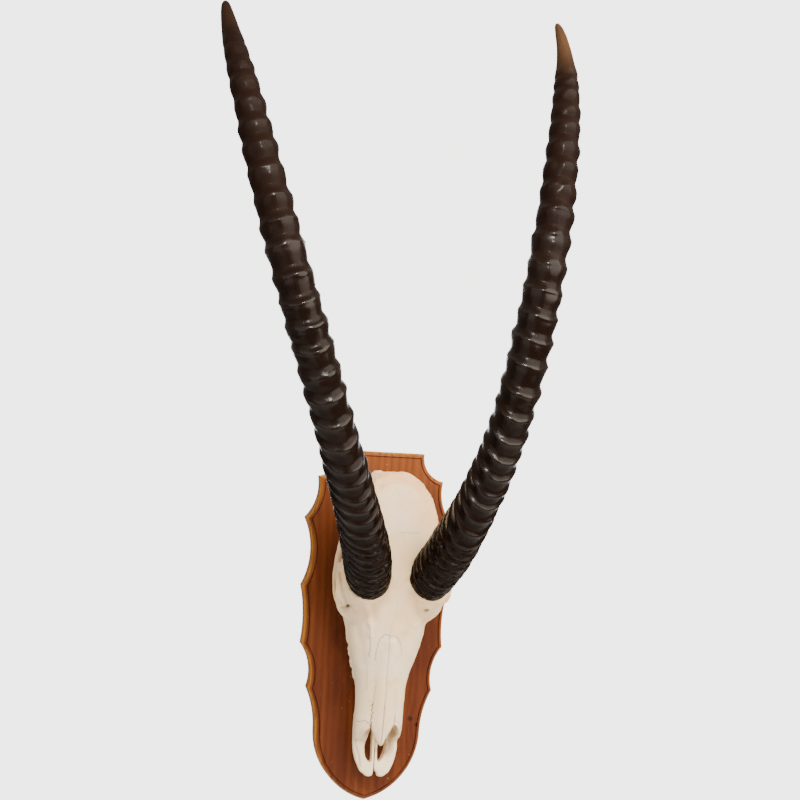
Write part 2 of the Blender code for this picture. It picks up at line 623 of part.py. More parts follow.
def skull_forms():
    """Return the overlapping forms that grow together into the skull."""
    forms = [muzzle_and_cranium(), nose_plate()]
    forms.append(arched_plate("roof", ROOF, ROOF_DROP, ROOF_THICK))
    forms.append(arched_plate("nasals", NASALS, NASALS_DROP, NASALS_THICK))
    for sign, side in ((-1, "left"), (1, "right")):
        forms.append(orbit_rim(sign))
        forms.append(pedicle(side))
        for name, route in (("zygomatic", ZYGOMATIC), ("cheek_ridge", CHEEK_RIDGE),
                            ("side_process", SIDE_PROCESS), ("palate_wing", PALATE_WING)):
            forms.append(tube_mesh(name, on_side(route, sign)))
        for name, (centre, radii) in (("condyle", CONDYLE), ("ear_bulb", EAR_BULB),
                                      ("cheek_bone", CHEEK_BONE)):
            forms.append(ball_mesh(name, (sign * centre[0], *centre[1:]), radii))
    return forms


def add_remesh(target):
    """Grow a skull's overlapping forms into one skin."""
    modifier = target.modifiers.new("grow_together", "REMESH")
    modifier.mode = "VOXEL"
    modifier.voxel_size = VOXEL * CM
    modifier.use_smooth_shade = True


def make_skull():
    """Build the skull, open at the eyes, nose, palate and spine, with seats for horns and teeth."""
    mesh = joined_mesh(skull_forms(), "skull")
    for vertex in mesh.vertices:
        vertex.co.x += nose_drift(vertex.co.z / CM) * CM
    skull = add_object("skull", mesh, PARTS, BONE)
    add_remesh(skull)
    for sign in (-1, 1):
        x, z, height = ORBIT["centre"]
        add_boolean(skull, add_cutter("eye_socket", ball_mesh(
            "eye_socket", (sign * x, z, height), ORBIT_HOLLOW)))
    add_boolean(skull, add_cutter("spinal_opening", ball_mesh("spinal_opening", *SPINAL_OPENING)))
    add_remesh(skull)
    soften = skull.modifiers.new("soften", "SMOOTH")
    soften.factor = SMOOTH_FACTOR
    soften.iterations = SMOOTH_PASSES
    thin_out = skull.modifiers.new("thin_out", "DECIMATE")
    thin_out.ratio = SKULL_KEEP
    add_boolean(skull, nose_opening("nose_notch", NOSE_NOTCH))
    add_boolean(skull, nose_opening("nasal_slit", NASAL_SLIT, NASAL_SLIT_HEIGHT))
    for sign, side in ((-1, "left"), (1, "right")):
        add_boolean(skull, nose_opening("palate_slit", on_side(PALATE_SLIT, sign)))
        add_boolean(skull, horn_clearance(side))
    bm = bmesh.new()
    bmesh.ops.create_cube(bm, size=1.0)
    row = sum(TOOTH_LENGTHS)
    bmesh.ops.scale(bm, verts=bm.verts,
                    vec=(TOOTH_SEAT_WIDTH * CM, 2 * (TOOTH_HEIGHT + 2 * GAP) * CM,
                         (row + 2 * TOOTH_SEAT_REACH) * CM))
    bmesh.ops.translate(bm, verts=bm.verts, vec=place(0.0, TOOTH_ROW_START + row / 2, 0.0))
    add_boolean(skull, add_cutter("tooth_seat", mesh_from(bm, "tooth_seat")))


def make_teeth():
    """Build the cheek teeth of both sides, each a separate rounded block."""
    for sign, side in ((-1, "left"), (1, "right")):
        z = TOOTH_ROW_START
        for index, (length, width) in enumerate(zip(TOOTH_LENGTHS, TOOTH_WIDTHS), start=1):
            middle = z + length / 2
            z += length
            bm = bmesh.new()
            bmesh.ops.create_cube(bm, size=1.0)
            bmesh.ops.scale(bm, verts=bm.verts,
                            vec=(width * CM, TOOTH_HEIGHT * CM, (length - 2 * GAP) * CM))
            upright = [edge for edge in bm.edges
                       if abs((edge.verts[0].co - edge.verts[1].co).normalized().y) > FACING]
            bmesh.ops.bevel(bm, geom=upright, offset=TOOTH_ROUNDING * CM, segments=2,
                            profile=0.5, affect="EDGES", material=-1)
            x = sign * smooth_value(TOOTH_ROW, middle)
            bmesh.ops.translate(bm, verts=bm.verts, vec=place(x, middle, GAP + TOOTH_HEIGHT / 2))
            add_object("cheek_tooth_%s_%d" % (side, index), mesh_from(bm, "tooth"), PARTS, ENAMEL)


clear_scene()
PARTS = make_collection("sable_skull_mount")
CUTTERS = make_collection("cutters")
WOOD = make_material("stained_wood", (0.22, 0.065, 0.02), 0.4)
BONE = make_material("bleached_bone", (0.82, 0.76, 0.68), 0.7)
HORN = make_material("polished_horn", (0.02, 0.013, 0.01), 0.35)
ENAMEL = make_material("tooth_enamel", (0.72, 0.62, 0.45), 0.35)
STEEL = make_material("plated_steel", (0.6, 0.58, 0.52), 0.3, 1.0)
make_shield()
make_hanger()
make_horn("left")
make_horn("right")
make_skull()
make_teeth()
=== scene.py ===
"""The looks of a sable antelope's skull and horns on a scalloped wooden wall shield.

Frame: metres, +Z up, +X to the viewer's right, -Y toward the viewer. The wall is the plane Y = 0.
Drawing sizes are in centimetres. A place on the mount is (x, z, height), where height is the
distance from the front of the shield toward the viewer.
"""

import logging
import math
from bisect import bisect_right
from dataclasses import dataclass, field
from enum import Enum
from typing import Any, Sequence

import bmesh
import bpy
import numpy as np
from mathutils import Matrix, Vector, noise


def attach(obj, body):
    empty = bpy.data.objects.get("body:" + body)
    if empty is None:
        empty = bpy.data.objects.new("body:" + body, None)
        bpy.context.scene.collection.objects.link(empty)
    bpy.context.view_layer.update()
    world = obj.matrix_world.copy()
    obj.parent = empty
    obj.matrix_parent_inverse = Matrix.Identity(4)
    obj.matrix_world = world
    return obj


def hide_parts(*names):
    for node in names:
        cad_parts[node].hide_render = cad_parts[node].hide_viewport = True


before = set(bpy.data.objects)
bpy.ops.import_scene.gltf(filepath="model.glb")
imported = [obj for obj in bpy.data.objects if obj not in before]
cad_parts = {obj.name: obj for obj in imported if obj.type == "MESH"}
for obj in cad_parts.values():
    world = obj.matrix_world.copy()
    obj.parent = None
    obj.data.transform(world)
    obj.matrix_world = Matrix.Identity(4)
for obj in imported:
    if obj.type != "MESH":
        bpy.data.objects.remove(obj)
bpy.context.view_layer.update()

CM = 0.01
SHIELD_THICK = 2.2
HANGER_Z = 17.0
SCREW_X = 1.8
TEETH_A_SIDE = 6
SENSOR = 36.0
WELD = 0.00001
BODY = "root"
LOG = logging.getLogger("skull_mount")

Station = tuple[float, float]
Place = tuple[float, float, float]
Colour = tuple[float, float, float]
Ring = list[Vector]


class Side(Enum):
    """The two sides of the mount, as the viewer sees them."""

    LEFT = -1
    RIGHT = 1

    @property
    def label(self) -> str:
        """Return the side's name as the nodes spell it."""
        return self.name.lower()


class Tint(Enum):
    """The tints that the bone keeps at its vertices, under the names that its finish reads."""

    # seam: dark seams, and painted shade in pits and grooves
    SEAM = "seam"
    # stain: painted shade in hollows and under the bone, with tan stain
    STAIN = "stain"
    WARM = "warm"


def by_side(left: Any, right: Any) -> Any:
    """Return a dataclass field that holds a value for each side."""
    return field(default_factory=lambda: {Side.LEFT: left, Side.RIGHT: right})


def place(x: float, z: float, height: float) -> Vector:
    """Turn a place on the mount into a point in the shared frame.

    Args:
        x: distance to the viewer's right, in cm.
        z: distance up, in cm.
        height: distance in front of the shield, in cm.

    Returns:
        The point in metres.
    """
    return Vector((x, -(SHIELD_THICK + height), z)) * CM


def smooth_value(stations: Sequence[Station], position: float) -> float:
    """Read a smooth curve that runs through given stations.

    Args:
        stations: (position, value) pairs in order of position.
        position: where the curve is read.

    Returns:
        The curve's value there.
    """
    last = len(stations) - 1
    span = 0
    while span < last - 1 and position > stations[span + 1][0]:
        span += 1
    slopes = []
    for index in (span, span + 1):
        before = stations[max(index - 1, 0)]
        after = stations[min(index + 1, last)]
        slopes.append((after[1] - before[1]) / (after[0] - before[0]))
    start, end = stations[span], stations[span + 1]
    width = end[0] - start[0]
    t = min(max((position - start[0]) / width, 0.0), 1.0)
    blend = (2 * t ** 3 - 3 * t ** 2 + 1, t ** 3 - 2 * t ** 2 + t,
             -2 * t ** 3 + 3 * t ** 2, t ** 3 - t ** 2)
    return (blend[0] * start[1] + blend[1] * width * slopes[0]
            + blend[2] * end[1] + blend[3] * width * slopes[1])


def bell(distance: float, width: float) -> float:
    """Return 1 at no distance, falling smoothly to nearly 0 two widths away."""
    return math.exp(-(distance / width) ** 2)


def fade(value: float, start: float, end: float) -> float:
    """Return 0 before start, 1 after end and a smooth step between; end may lie before start."""
    t = min(max((value - start) / (end - start), 0.0), 1.0)
    return t * t * (3 - 2 * t)


def bells(distances: np.ndarray, width: float) -> np.ndarray:
    """Return 1 at no distance, falling smoothly to nearly 0 two widths away, for each distance."""
    return np.exp(-(distances / width) ** 2)


def ramp(values: np.ndarray, start: float, end: float) -> np.ndarray:
    """Return 0 before start, 1 after end and a straight slope between, for each value."""
    return np.clip((values - start) / (end - start), 0.0, 1.0)


def within(values: np.ndarray, limits: Station) -> np.ndarray:
    """Return which values lie between two limits."""
    return (values > limits[0]) & (values < limits[1])


def mirrored(route: Sequence[tuple], side: Side) -> list[tuple]:
    """Return the route's places on one side: the first number of each is x."""
    return [(side.value * stop[0], *stop[1:]) for stop in route]


def turns(count: int) -> list[float]:
    """Return evenly spaced angles round a circle, in radians."""
    return [2 * math.pi * step / count for step in range(count)]


class Signal:
    """A value or colour inside a material, which Python's operators combine."""

    def __init__(self, graph: "Graph", socket: bpy.types.NodeSocket) -> None:
        """Keep the material's graph and the socket that the value comes from."""
        self.graph = graph
        self.socket = socket

    def _math(self, operation: str, *values: Any) -> "Signal":
        """Add one Math node.

        Args:
            operation: the node's operation.
            values: what its sockets take, in order.

        Returns:
            The node's result.
        """
        made = self.graph.node("ShaderNodeMath", {"operation": operation}, dict(enumerate(values)))
        return Signal(self.graph, made.outputs[0])

    def __add__(self, other: Any) -> "Signal":
        """Return the sum."""
        return self._math("ADD", self, other)

    def __radd__(self, other: Any) -> "Signal":
        """Return the sum."""
        return self._math("ADD", other, self)

    def __sub__(self, other: Any) -> "Signal":
        """Return the difference."""
        return self._math("SUBTRACT", self, other)

    def __rsub__(self, other: Any) -> "Signal":
        """Return the difference the other way round."""
        return self._math("SUBTRACT", other, self)

    def __mul__(self, other: Any) -> "Signal":
        """Return the product."""
        return self._math("MULTIPLY", self, other)

    def __rmul__(self, other: Any) -> "Signal":
        """Return the product."""
        return self._math("MULTIPLY", other, self)

    def __truediv__(self, other: Any) -> "Signal":
        """Return the quotient."""
        return self._math("DIVIDE", self, other)

    def __pow__(self, other: Any) -> "Signal":
        """Return the power."""
        return self._math("POWER", self, other)

    def sine(self) -> "Signal":
        """Return the sine."""
        return self._math("SINE", self)

    def exponential(self) -> "Signal":
        """Return e to the power of the value."""
        return self._math("EXPONENT", self)

    def most(self, other: Any) -> "Signal":
        """Return the larger of two values."""
        return self._math("MAXIMUM", self, other)

    def step(self, start: float, end: float) -> "Signal":
        """Return 0 at start and 1 at end, with a smooth step between.

        Args:
            start: the value that gives 0.
            end: the value that gives 1.

        Returns:
            The stepped value.
        """
        made = self.graph.node("ShaderNodeMapRange", {"interpolation_type": "SMOOTHSTEP"},
                               {"Value": self, "From Min": start, "From Max": end})
        return Signal(self.graph, made.outputs["Result"])


class Graph:
    """The nodes of one material, or of the world."""

    def __init__(self, owner: Any, shader: str = "Principled BSDF") -> None:
        """Start with only the shader.

        Args:
            owner: the material or the world that the nodes belong to.
            shader: the name of its shader's node.
        """
        owner.use_nodes = True
        self.owner = owner
        self.tree = owner.node_tree
        self.shader = self.tree.nodes[shader]

    @classmethod
    def of_material(cls, name: str) -> "Graph":
        """Return the graph of a new material."""
        return cls(bpy.data.materials.new(name))

    def feed(self, target: bpy.types.Node, inputs: dict[Any, Any]) -> None:
        """Set a node's sockets.

        Args:
            target: the node.
            inputs: a value or a Signal for each named or numbered socket.
        """
        for key, value in inputs.items():
            if isinstance(value, Signal):
                self.tree.links.new(value.socket, target.inputs[key])
            else:
                target.inputs[key].default_value = value

    def node(self, kind: str, settings: dict[str, Any] | None = None,
             inputs: dict[Any, Any] | None = None) -> bpy.types.Node:
        """Add a node.

        Args:
            kind: the node's type.
            settings: its own settings, which are set first.
            inputs: what its sockets take.

        Returns:
            The node.
        """
        made = self.tree.nodes.new(kind)
        for name, value in (settings or {}).items():
            setattr(made, name, value)
        self.feed(made, inputs or {})
        return made

    def position(self) -> Signal:
        """Return the place on the piece, in metres."""
        return Signal(self, self.node("ShaderNodeTexCoord").outputs["Object"])

    def attribute(self, name: str, output: str = "Fac") -> Signal:
        """Return a value that the mesh keeps at its vertices."""
        made = self.node("ShaderNodeAttribute", {"attribute_name": name})
        return Signal(self, made.outputs[output])

    def stretched(self, vector: Signal, scales: Place) -> Signal:
        """Return a place scaled along each axis, so that a pattern read there is stretched."""
        made = self.node("ShaderNodeVectorMath", {"operation": "MULTIPLY"}, {0: vector, 1: scales})
        return Signal(self, made.outputs[0])

    def parts(self, vector: Signal) -> list[Signal]:
        """Return a vector's three parts."""
        made = self.node("ShaderNodeSeparateXYZ", None, {0: vector})
        return [Signal(self, output) for output in made.outputs]

    def cloud(self, vector: Signal, scale: float, detail: float = 3.0,
              roughness: float = 0.5) -> Signal:
        """Return soft noise between about 0.2 and 0.8.

        Args:
            vector: where the noise is read.
            scale: lumps to a unit of length.
            detail: how many finer layers are added.
            roughness: how strong the finer layers are.

        Returns:
            The noise.
        """
        made = self.node("ShaderNodeTexNoise", None,
                         {"Vector": vector, "Scale": scale, "Detail": detail,
                          "Roughness": roughness})
        return Signal(self, made.outputs[0])

    def mix(self, share: Any, first: Any, second: Any) -> Signal:
        """Return two colours mixed.

        Args:
            share: how much of the second there is, 0 to 1.
            first: a colour or the signal of one.
            second: a colour or the signal of one.

        Returns:
            The mixed colour.
        """
        ends = {key: value if isinstance(value, Signal) else (*value, 1.0)
                for key, value in ((6, first), (7, second))}
        made = self.node("ShaderNodeMix", {"data_type": "RGBA"}, {0: share, **ends})
        return Signal(self, made.outputs[2])

    def bump(self, height: Signal, distance: float, strength: float = 1.0,
             below: Signal | None = None) -> Signal:
        """Return a surface direction that follows fine relief.

        Args:
            height: the relief, 0 to 1.
            distance: its full height in metres.
            strength: how much of it shows.
            below: another relief, which this one is added to.

        Returns:
            The direction.
        """
        inputs = {"Height": height, "Distance": distance, "Strength": strength}
        if below is not None:
            inputs["Normal"] = below
        return Signal(self, self.node("ShaderNodeBump", None, inputs).outputs[0])

    def finish(self, inputs: dict[str, Any]) -> bpy.types.Material:
        """Set the shader's sockets and return the material."""
        self.feed(self.shader, inputs)
        return self.owner


@dataclass(frozen=True)
class BoneFinish:
    """Dry, chalky bone, with dark seams, painted shade in its pits and grooves, tan hollows of
    painted shade and stain, and a warm flush on the crown.
    """

    chalk: Colour = (0.89, 0.73, 0.51)
    cream: Colour = (0.87, 0.66, 0.39)
    flush: Colour = (0.96, 0.57, 0.27)
    # The tan of stain, pores and smudges, and of the painted shade in the hollows.
    tan: Colour = (0.33, 0.20, 0.085)
    # The dark of the seams, and of the painted shade in the pits and grooves.
    seam: Colour = (0.09, 0.06, 0.04)

    def material(self) -> bpy.types.Material:
        """Join the bone's grain, pores, seams and tints.

        Returns:
            The bone's material.
        """
        graph = Graph.of_material("bleached_bone")
        spot = graph.position()
        broad = graph.cloud(spot, 14.0, 3.0)
        grain = graph.cloud(graph.stretched(spot, (1.0, 1.0, 0.25)), 420.0, 4.0, 0.6)
        pores = graph.cloud(spot, 900.0, 2.0, 0.5)
        colour = graph.mix(broad.step(0.35, 0.68), self.chalk, self.cream)
        colour = graph.mix(graph.attribute("warm"), colour, self.flush)
        smudge = graph.cloud(spot, 55.0, 4.0, 0.6).step(0.52, 0.72) * 0.16
        colour = graph.mix(smudge, colour, self.tan)
        colour = graph.mix(pores.step(0.62, 0.74) * 0.22, colour, self.tan)
        # Painted shade in the nose, the eye sockets and under the bone, with tan stain.
        stain = graph.attribute("stain")
        colour = graph.mix(stain * (0.55 + 0.7 * broad), colour, self.tan)
        # Dark seams, and painted shade in the pits and grooves.
        seam = graph.attribute("seam")
        colour = graph.mix(seam * (0.55 + grain), colour, self.seam)
        rough = 0.62 + 0.2 * grain - 0.12 * broad
        relief = graph.bump(pores, 0.00025, 0.5, graph.bump(grain, 0.0005, 0.6))
        return graph.finish({"Base Color": colour, "Roughness": rough, "Normal": relief,
                             "Specular IOR Level": 0.35})


@dataclass(frozen=True)
class HornFinish:
    """Near-black horn: polished on the rings, dull between them, pale and matt at the tip."""

    black: Colour = (0.0064, 0.0029, 0.0017)
    brown: Colour = (0.0130, 0.0052, 0.0025)
    umber: Colour = (0.0098, 0.0031, 0.0011)
    pale: Colour = (0.082, 0.041, 0.0195)
    foot_polish: float = 0.35
    dull_foot: Station = (4.0, 18.0)

    def material(self) -> bpy.types.Material:
        """Join the horn's streaks, patches and polish, which follow its own straightened space.

        Returns:
            The horn's material.
        """
        graph = Graph.of_material("polished_horn")
        straight = graph.attribute("straight", "Vector")
        crest = graph.attribute("crest")
        along = graph.stretched(straight, (1.0, 1.0, 0.05))
        streak = graph.cloud(along, 3.2, 4.0, 0.65)
        hair = graph.cloud(along, 14.0, 3.0, 0.6)
        patch = graph.cloud(straight, 0.35, 4.0, 0.6)
        slope = graph.attribute("slope")
        aged = graph.attribute("aged")
        colour = graph.mix(streak.step(0.5, 0.78) * 0.5, self.black, self.brown)
        colour = graph.mix(patch.step(0.52, 0.75) * 0.5, colour, self.brown)
        light_band = (1.0 - slope).step(0.35, 1.0) * (1.0 - crest) * (0.3 + streak)
        colour = graph.mix(aged * (0.25 + 0.5 * patch + 0.7 * light_band), colour, self.umber)
        tip = graph.attribute("pale")
        colour = graph.mix(tip * (0.35 + 0.9 * streak), colour, self.pale)
        rough = (0.35 - 0.12 * crest + 0.26 * (patch - 0.4) + 0.14 * (hair - 0.5)
                 + 0.2 * aged + 0.15 * tip)
        polish = (1.0 - 0.8 * aged) * (0.07 + 0.3 * crest.step(0.5, 0.95) * (0.4 + patch))
        past_foot = graph.parts(straight)[2].step(*self.dull_foot)
        polish = polish * (self.foot_polish + (1.0 - self.foot_polish) * past_foot)
        fine = graph.bump(hair, 0.0003, 0.5)
        coarse = graph.bump(streak, 0.0008, 0.5, fine)
        return graph.finish({"Base Color": colour, "Roughness": rough.step(0.0, 1.0),
                             "Coat Weight": polish, "Normal": coarse,
                             "Specular IOR Level": 0.06, "Coat Roughness": 0.19})


@dataclass(frozen=True)
class WoodFinish:
    """Stained, varnished softwood with upright grain, two dark knots and a golden routed edge."""

    red: Colour = (0.089, 0.0188, 0.0050)
    light: Colour = (0.145, 0.0355, 0.0078)
    dark: Colour = (0.032, 0.0055, 0.0011)
    # A paler top: painted light from above.
    lit_top: Colour = (0.27, 0.078, 0.016)
    lit_top_from: Station = (0.17, 0.235)
    gold: Colour = (0.42, 0.16, 0.013)
    knot: Colour = (0.018, 0.006, 0.004)
    speck: Colour = (0.75, 0.45, 0.25)
    knots: tuple[Place, ...] = ((6.1, -13.5, 0.5), (7.1, -14.35, 0.4))

    def grain(self, graph: Graph, spot: Signal) -> Signal:
        """Return the growth rings as the saw cut them, bent round the knots.

        Args:
            graph: the material's nodes.
            spot: the place on the board.

        Returns:
            The rings, 0 in the pale wood and 1 in the dark lines.
        """
        x, _, z = graph.parts(spot)
        slow = graph.cloud(graph.stretched(spot, (1.0, 1.0, 0.12)), 9.0, 2.0)
        across = x + 0.05 * slow + 0.012 * (z * 4.0).sine()
        for knot_x, knot_z, radius in self.knots:
            away = (((x - knot_x * CM) ** 2.0) + ((z - knot_z * CM) * 0.35) ** 2.0) / (
                (radius * 2.2 * CM) ** 2)
            across = across + (0.0 - away).exponential() * 0.006
        return (across * 560.0).sine() * 0.5 + 0.5

    def knot_mask(self, graph: Graph, spot: Signal) -> Signal:
        """Return 1 inside the knots, fading to 0 at their rims.

        Args:
            graph: the material's nodes.
            spot: the place on the board.

        Returns:
            The mask.
        """
        x, _, z = graph.parts(spot)
        wobble = graph.cloud(spot, 160.0, 3.0) * 0.9
        mask = None
        for knot_x, knot_z, radius in self.knots:
            away = (((x - knot_x * CM) ** 2.0) + ((z - knot_z * CM) ** 2.0)) / ((radius * CM) ** 2)
            one = (away + wobble).step(1.35, 0.5)
            mask = one if mask is None else mask.most(one)
        return mask

    def material(self) -> bpy.types.Material:
        """Join the board's grain, knots, painted light on its top and golden edge.

        Returns:
            The board's material.
        """
        graph = Graph.of_material("stained_wood")
        spot = graph.position()
        rings = self.grain(graph, spot)
        long_spot = graph.stretched(spot, (1.0, 1.0, 0.05))
        fibres = graph.cloud(long_spot, 240.0, 4.0, 0.6)
        bands = graph.cloud(long_spot, 26.0, 3.0, 0.55)
        blotch = graph.cloud(spot, 11.0, 3.0)
        colour = graph.mix(bands.step(0.38, 0.66), self.red, self.light)
        # Painted light from above: the top of the board is paler.
        top = graph.parts(spot)[2].step(*self.lit_top_from)
        colour = graph.mix(top * (0.35 + 0.6 * fibres), colour, self.lit_top)
        colour = graph.mix(rings * 0.3, colour, self.dark)
        colour = graph.mix(fibres.step(0.45, 0.75) * 0.4, colour, self.dark)
        colour = graph.mix(blotch.step(0.45, 0.75) * 0.3, colour, self.light)
        colour = graph.mix(self.knot_mask(graph, spot) * 0.9, colour, self.knot)
        specks = graph.cloud(spot, 310.0, 1.0).step(0.775, 0.81)
        colour = graph.mix(specks * 0.45, colour, self.speck)
        rim_tone = graph.mix(fibres.step(0.35, 0.75), self.gold, self.light)
        colour = graph.mix(graph.attribute("rim") * (0.75 + 0.5 * bands), colour, rim_tone)
        colour = graph.mix(graph.attribute("quirk") * 0.2, colour, self.dark)
        rough = 0.30 + 0.22 * fibres + 0.12 * blotch
        relief = graph.bump(fibres, 0.0003, 0.5, graph.bump(rings, 0.0004, 0.25))
        return graph.finish({"Base Color": colour, "Roughness": rough, "Normal": relief,
                             "Coat Weight": 0.06, "Coat Roughness": 0.25,
                             "Specular IOR Level": 0.14})


@dataclass(frozen=True)
class EnamelFinish:
    """Worn cheek-tooth enamel, cream with brown stain in the grooves and on the chewing face."""

    cream: Colour = (0.80, 0.72, 0.56)
    stain: Colour = (0.20, 0.11, 0.05)

    def material(self) -> bpy.types.Material:
        """Join the enamel's stain and fine relief.

        Returns:
            The teeth's material.
        """
        graph = Graph.of_material("tooth_enamel")
        spot = graph.position()
        cloud = graph.cloud(spot, 120.0, 4.0, 0.6)
        groove = graph.attribute("groove")
        share = groove * 0.8 + cloud.step(0.5, 0.75) * 0.35
        colour = graph.mix(share.step(0.0, 1.0), self.cream, self.stain)
        rough = 0.25 + 0.35 * cloud
        relief = graph.bump(graph.cloud(spot, 700.0, 3.0), 0.0003, 0.4)
        return graph.finish({"Base Color": colour, "Roughness": rough, "Normal": relief})


@dataclass(frozen=True)
class SteelFinish:
    """Dull plated steel, with a drawn grain and a few tarnished spots."""

    bright: Colour = (0.62, 0.60, 0.55)
    tarnish: Colour = (0.30, 0.24, 0.16)

    def material(self) -> bpy.types.Material:
        """Join the steel's drawn grain and tarnish.

        Returns:
            The hanger's material.
        """
        graph = Graph.of_material("plated_steel")
        spot = graph.position()
        drawn = graph.cloud(graph.stretched(spot, (0.08, 1.0, 1.0)), 1500.0, 3.0)
        spots = graph.cloud(spot, 300.0, 4.0, 0.6).step(0.55, 0.75)
        colour = graph.mix(spots * 0.6, self.bright, self.tarnish)
        rough = 0.28 + 0.2 * drawn + 0.3 * spots
        relief = graph.bump(drawn, 0.0001, 0.4)
        return graph.finish({"Base Color": colour, "Roughness": rough, "Normal": relief,
                             "Metallic": 1.0})


@dataclass(frozen=True)
class PlainFinish:
    """A matt, plain surface of the studio."""

    colour: Colour = (0.6, 0.6, 0.59)
    roughness: float = 0.9

    def material(self) -> bpy.types.Material:
        """Return a material of one colour and one roughness."""
        return Graph.of_material("studio_floor").finish(
            {"Base Color": (*self.colour, 1.0), "Roughness": self.roughness})


def linked(name: str, data: bpy.types.ID) -> bpy.types.Object:
    """Put a new object in the scene.

    Args:
        name: its name.
        data: its mesh, light or camera.

    Returns:
        The object.
    """
    made = bpy.data.objects.new(name, data)
    bpy.context.scene.collection.objects.link(made)
    return made


def mesh_of(bm: bmesh.types.BMesh) -> bpy.types.Mesh:
    """Turn a bmesh into a mesh, and free it.

    Args:
        bm: the bmesh.

    Returns:
        The mesh.
    """
    made = bpy.data.meshes.new("form")
    bm.to_mesh(made)
    bm.free()
    return made


def outward_mesh(bm: bmesh.types.BMesh) -> bpy.types.Mesh:
    """Turn a closed bmesh into a mesh whose faces point outward, and free it."""
    bmesh.ops.recalc_face_normals(bm, faces=bm.faces)
    return mesh_of(bm)


def edges_of(vertices: Sequence[bmesh.types.BMVert]) -> list[bmesh.types.BMEdge]:
    """Return the edges at the vertices, each once and in the same order on every run."""
    return list(dict.fromkeys(edge for vertex in vertices for edge in vertex.link_edges))


def add_ring(bm: bmesh.types.BMesh, points: Sequence[Vector]) -> list[bmesh.types.BMEdge]:
    """Add a closed ring of edges.

    Args:
        bm: the bmesh that grows.
        points: the ring's points in order.

    Returns:
        The ring's edges.
    """
    made = bmesh.ops.create_circle(bm, cap_ends=False, segments=len(points), radius=1.0)
    for vertex, point in zip(made["verts"], points):
        vertex.co = point
    return edges_of(made["verts"])


def bridge(bm: bmesh.types.BMesh, loops: Sequence[list[bmesh.types.BMEdge]]) -> None:
    """Join rings of edges each to the next, and close the first and the last.

    Args:
        bm: the bmesh that holds them.
        loops: the rings' edges in order.
    """
    for lower, upper in zip(loops, loops[1:]):
        bmesh.ops.bridge_loops(bm, edges=lower + upper)
    for end in (loops[0], loops[-1]):
        bmesh.ops.edgeloop_fill(bm, edges=end)


def skinned(rings: Sequence[Sequence[Vector]]) -> bpy.types.Mesh:
    """Bridge rings of points into a closed form.

    Args:
        rings: rings that all have the same count of points.

    Returns:
        The mesh, closed at both ends.
    """
    bm = bmesh.new()
    bridge(bm, [add_ring(bm, ring) for ring in rings])
    return outward_mesh(bm)


def box_mesh(size: Place, centre: Vector, rounding: float = 0.0) -> bpy.types.Mesh:
    """Build a box, rounded along the edges that point at the wall.

    Args:
        size: lengths along X, Y and Z in cm.
        centre: its middle, in metres.
        rounding: radius of the rounded edges in cm.

    Returns:
        The mesh.
    """
    bm = bmesh.new()
    bmesh.ops.create_cube(bm, size=1.0)
    bmesh.ops.scale(bm, verts=bm.verts, vec=Vector(size) * CM)
    if rounding > 0.0:
        edges = [edge for edge in bm.edges
                 if abs((edge.verts[0].co - edge.verts[1].co).normalized().y) > 0.9]
        bmesh.ops.bevel(bm, geom=edges, offset=rounding * CM, segments=6, profile=0.5,
                        affect="EDGES", material=-1)
    bmesh.ops.translate(bm, verts=bm.verts, vec=centre)
    return outward_mesh(bm)


def turned(profile: Sequence[Station], steps: int, centre: Vector) -> bpy.types.Mesh:
    """Turn a profile about an axis that points at the wall.

    Args:
        profile: (radius, distance in front of the wall) points in cm.
        steps: sides of the turned form.
        centre: where the axis meets the wall.

    Returns:
        The mesh.
    """
    bm = bmesh.new()
    points = [bm.verts.new((radius * CM, -ahead * CM, 0.0)) for radius, ahead in profile]
    lines = [bm.edges.new(pair) for pair in zip(points, points[1:])]
    bmesh.ops.spin(bm, geom=points + lines, cent=(0.0, 0.0, 0.0), axis=(0.0, 1.0, 0.0),
                   angle=2 * math.pi, steps=steps, use_merge=True)
    bmesh.ops.remove_doubles(bm, verts=bm.verts, dist=WELD)
    bmesh.ops.translate(bm, verts=bm.verts, vec=centre)
    return outward_mesh(bm)


def bore(hole: Place, steps: int, side: Side) -> bpy.types.Mesh:
    """Build the cutter of a hole for one of the hanger's screws.

    Args:
        hole: its radius, and how far in front of the wall it starts and ends, in cm.
        steps: sides of the hole.
        side: which screw it is for.

    Returns:
        The cutter's mesh.
    """
    radius, start, end = hole
    profile = ((0.0, start), (radius, start), (radius, end), (0.0, end))
    return turned(profile, steps, screw_spot(side))


def screw_spot(side: Side) -> Vector:
    """Return where the axis of one of the hanger's screws meets the wall."""
    return Vector((side.value * SCREW_X * CM, 0.0, HANGER_Z * CM))


def show(name: str, mesh: bpy.types.Mesh, material: bpy.types.Material,
         nodes: Sequence[str], crisp: float) -> None:
    """Put a finished piece in the scene in place of its CAD nodes.

    Args:
        name: the piece's name.
        mesh: its mesh, already in place.
        material: its finish.
        nodes: the CAD nodes that it stands for.
        crisp: edges that turn by more than this many degrees stay sharp.
    """
    made = linked(name, mesh)
    mesh.name = name
    mesh.materials.clear()
    mesh.materials.append(material)
    mesh.shade_smooth()
    mesh.set_sharp_from_angle(angle=math.radians(crisp))
    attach(made, BODY)
    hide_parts(*nodes)
    LOG.info("%s: %d faces", name, len(mesh.polygons))


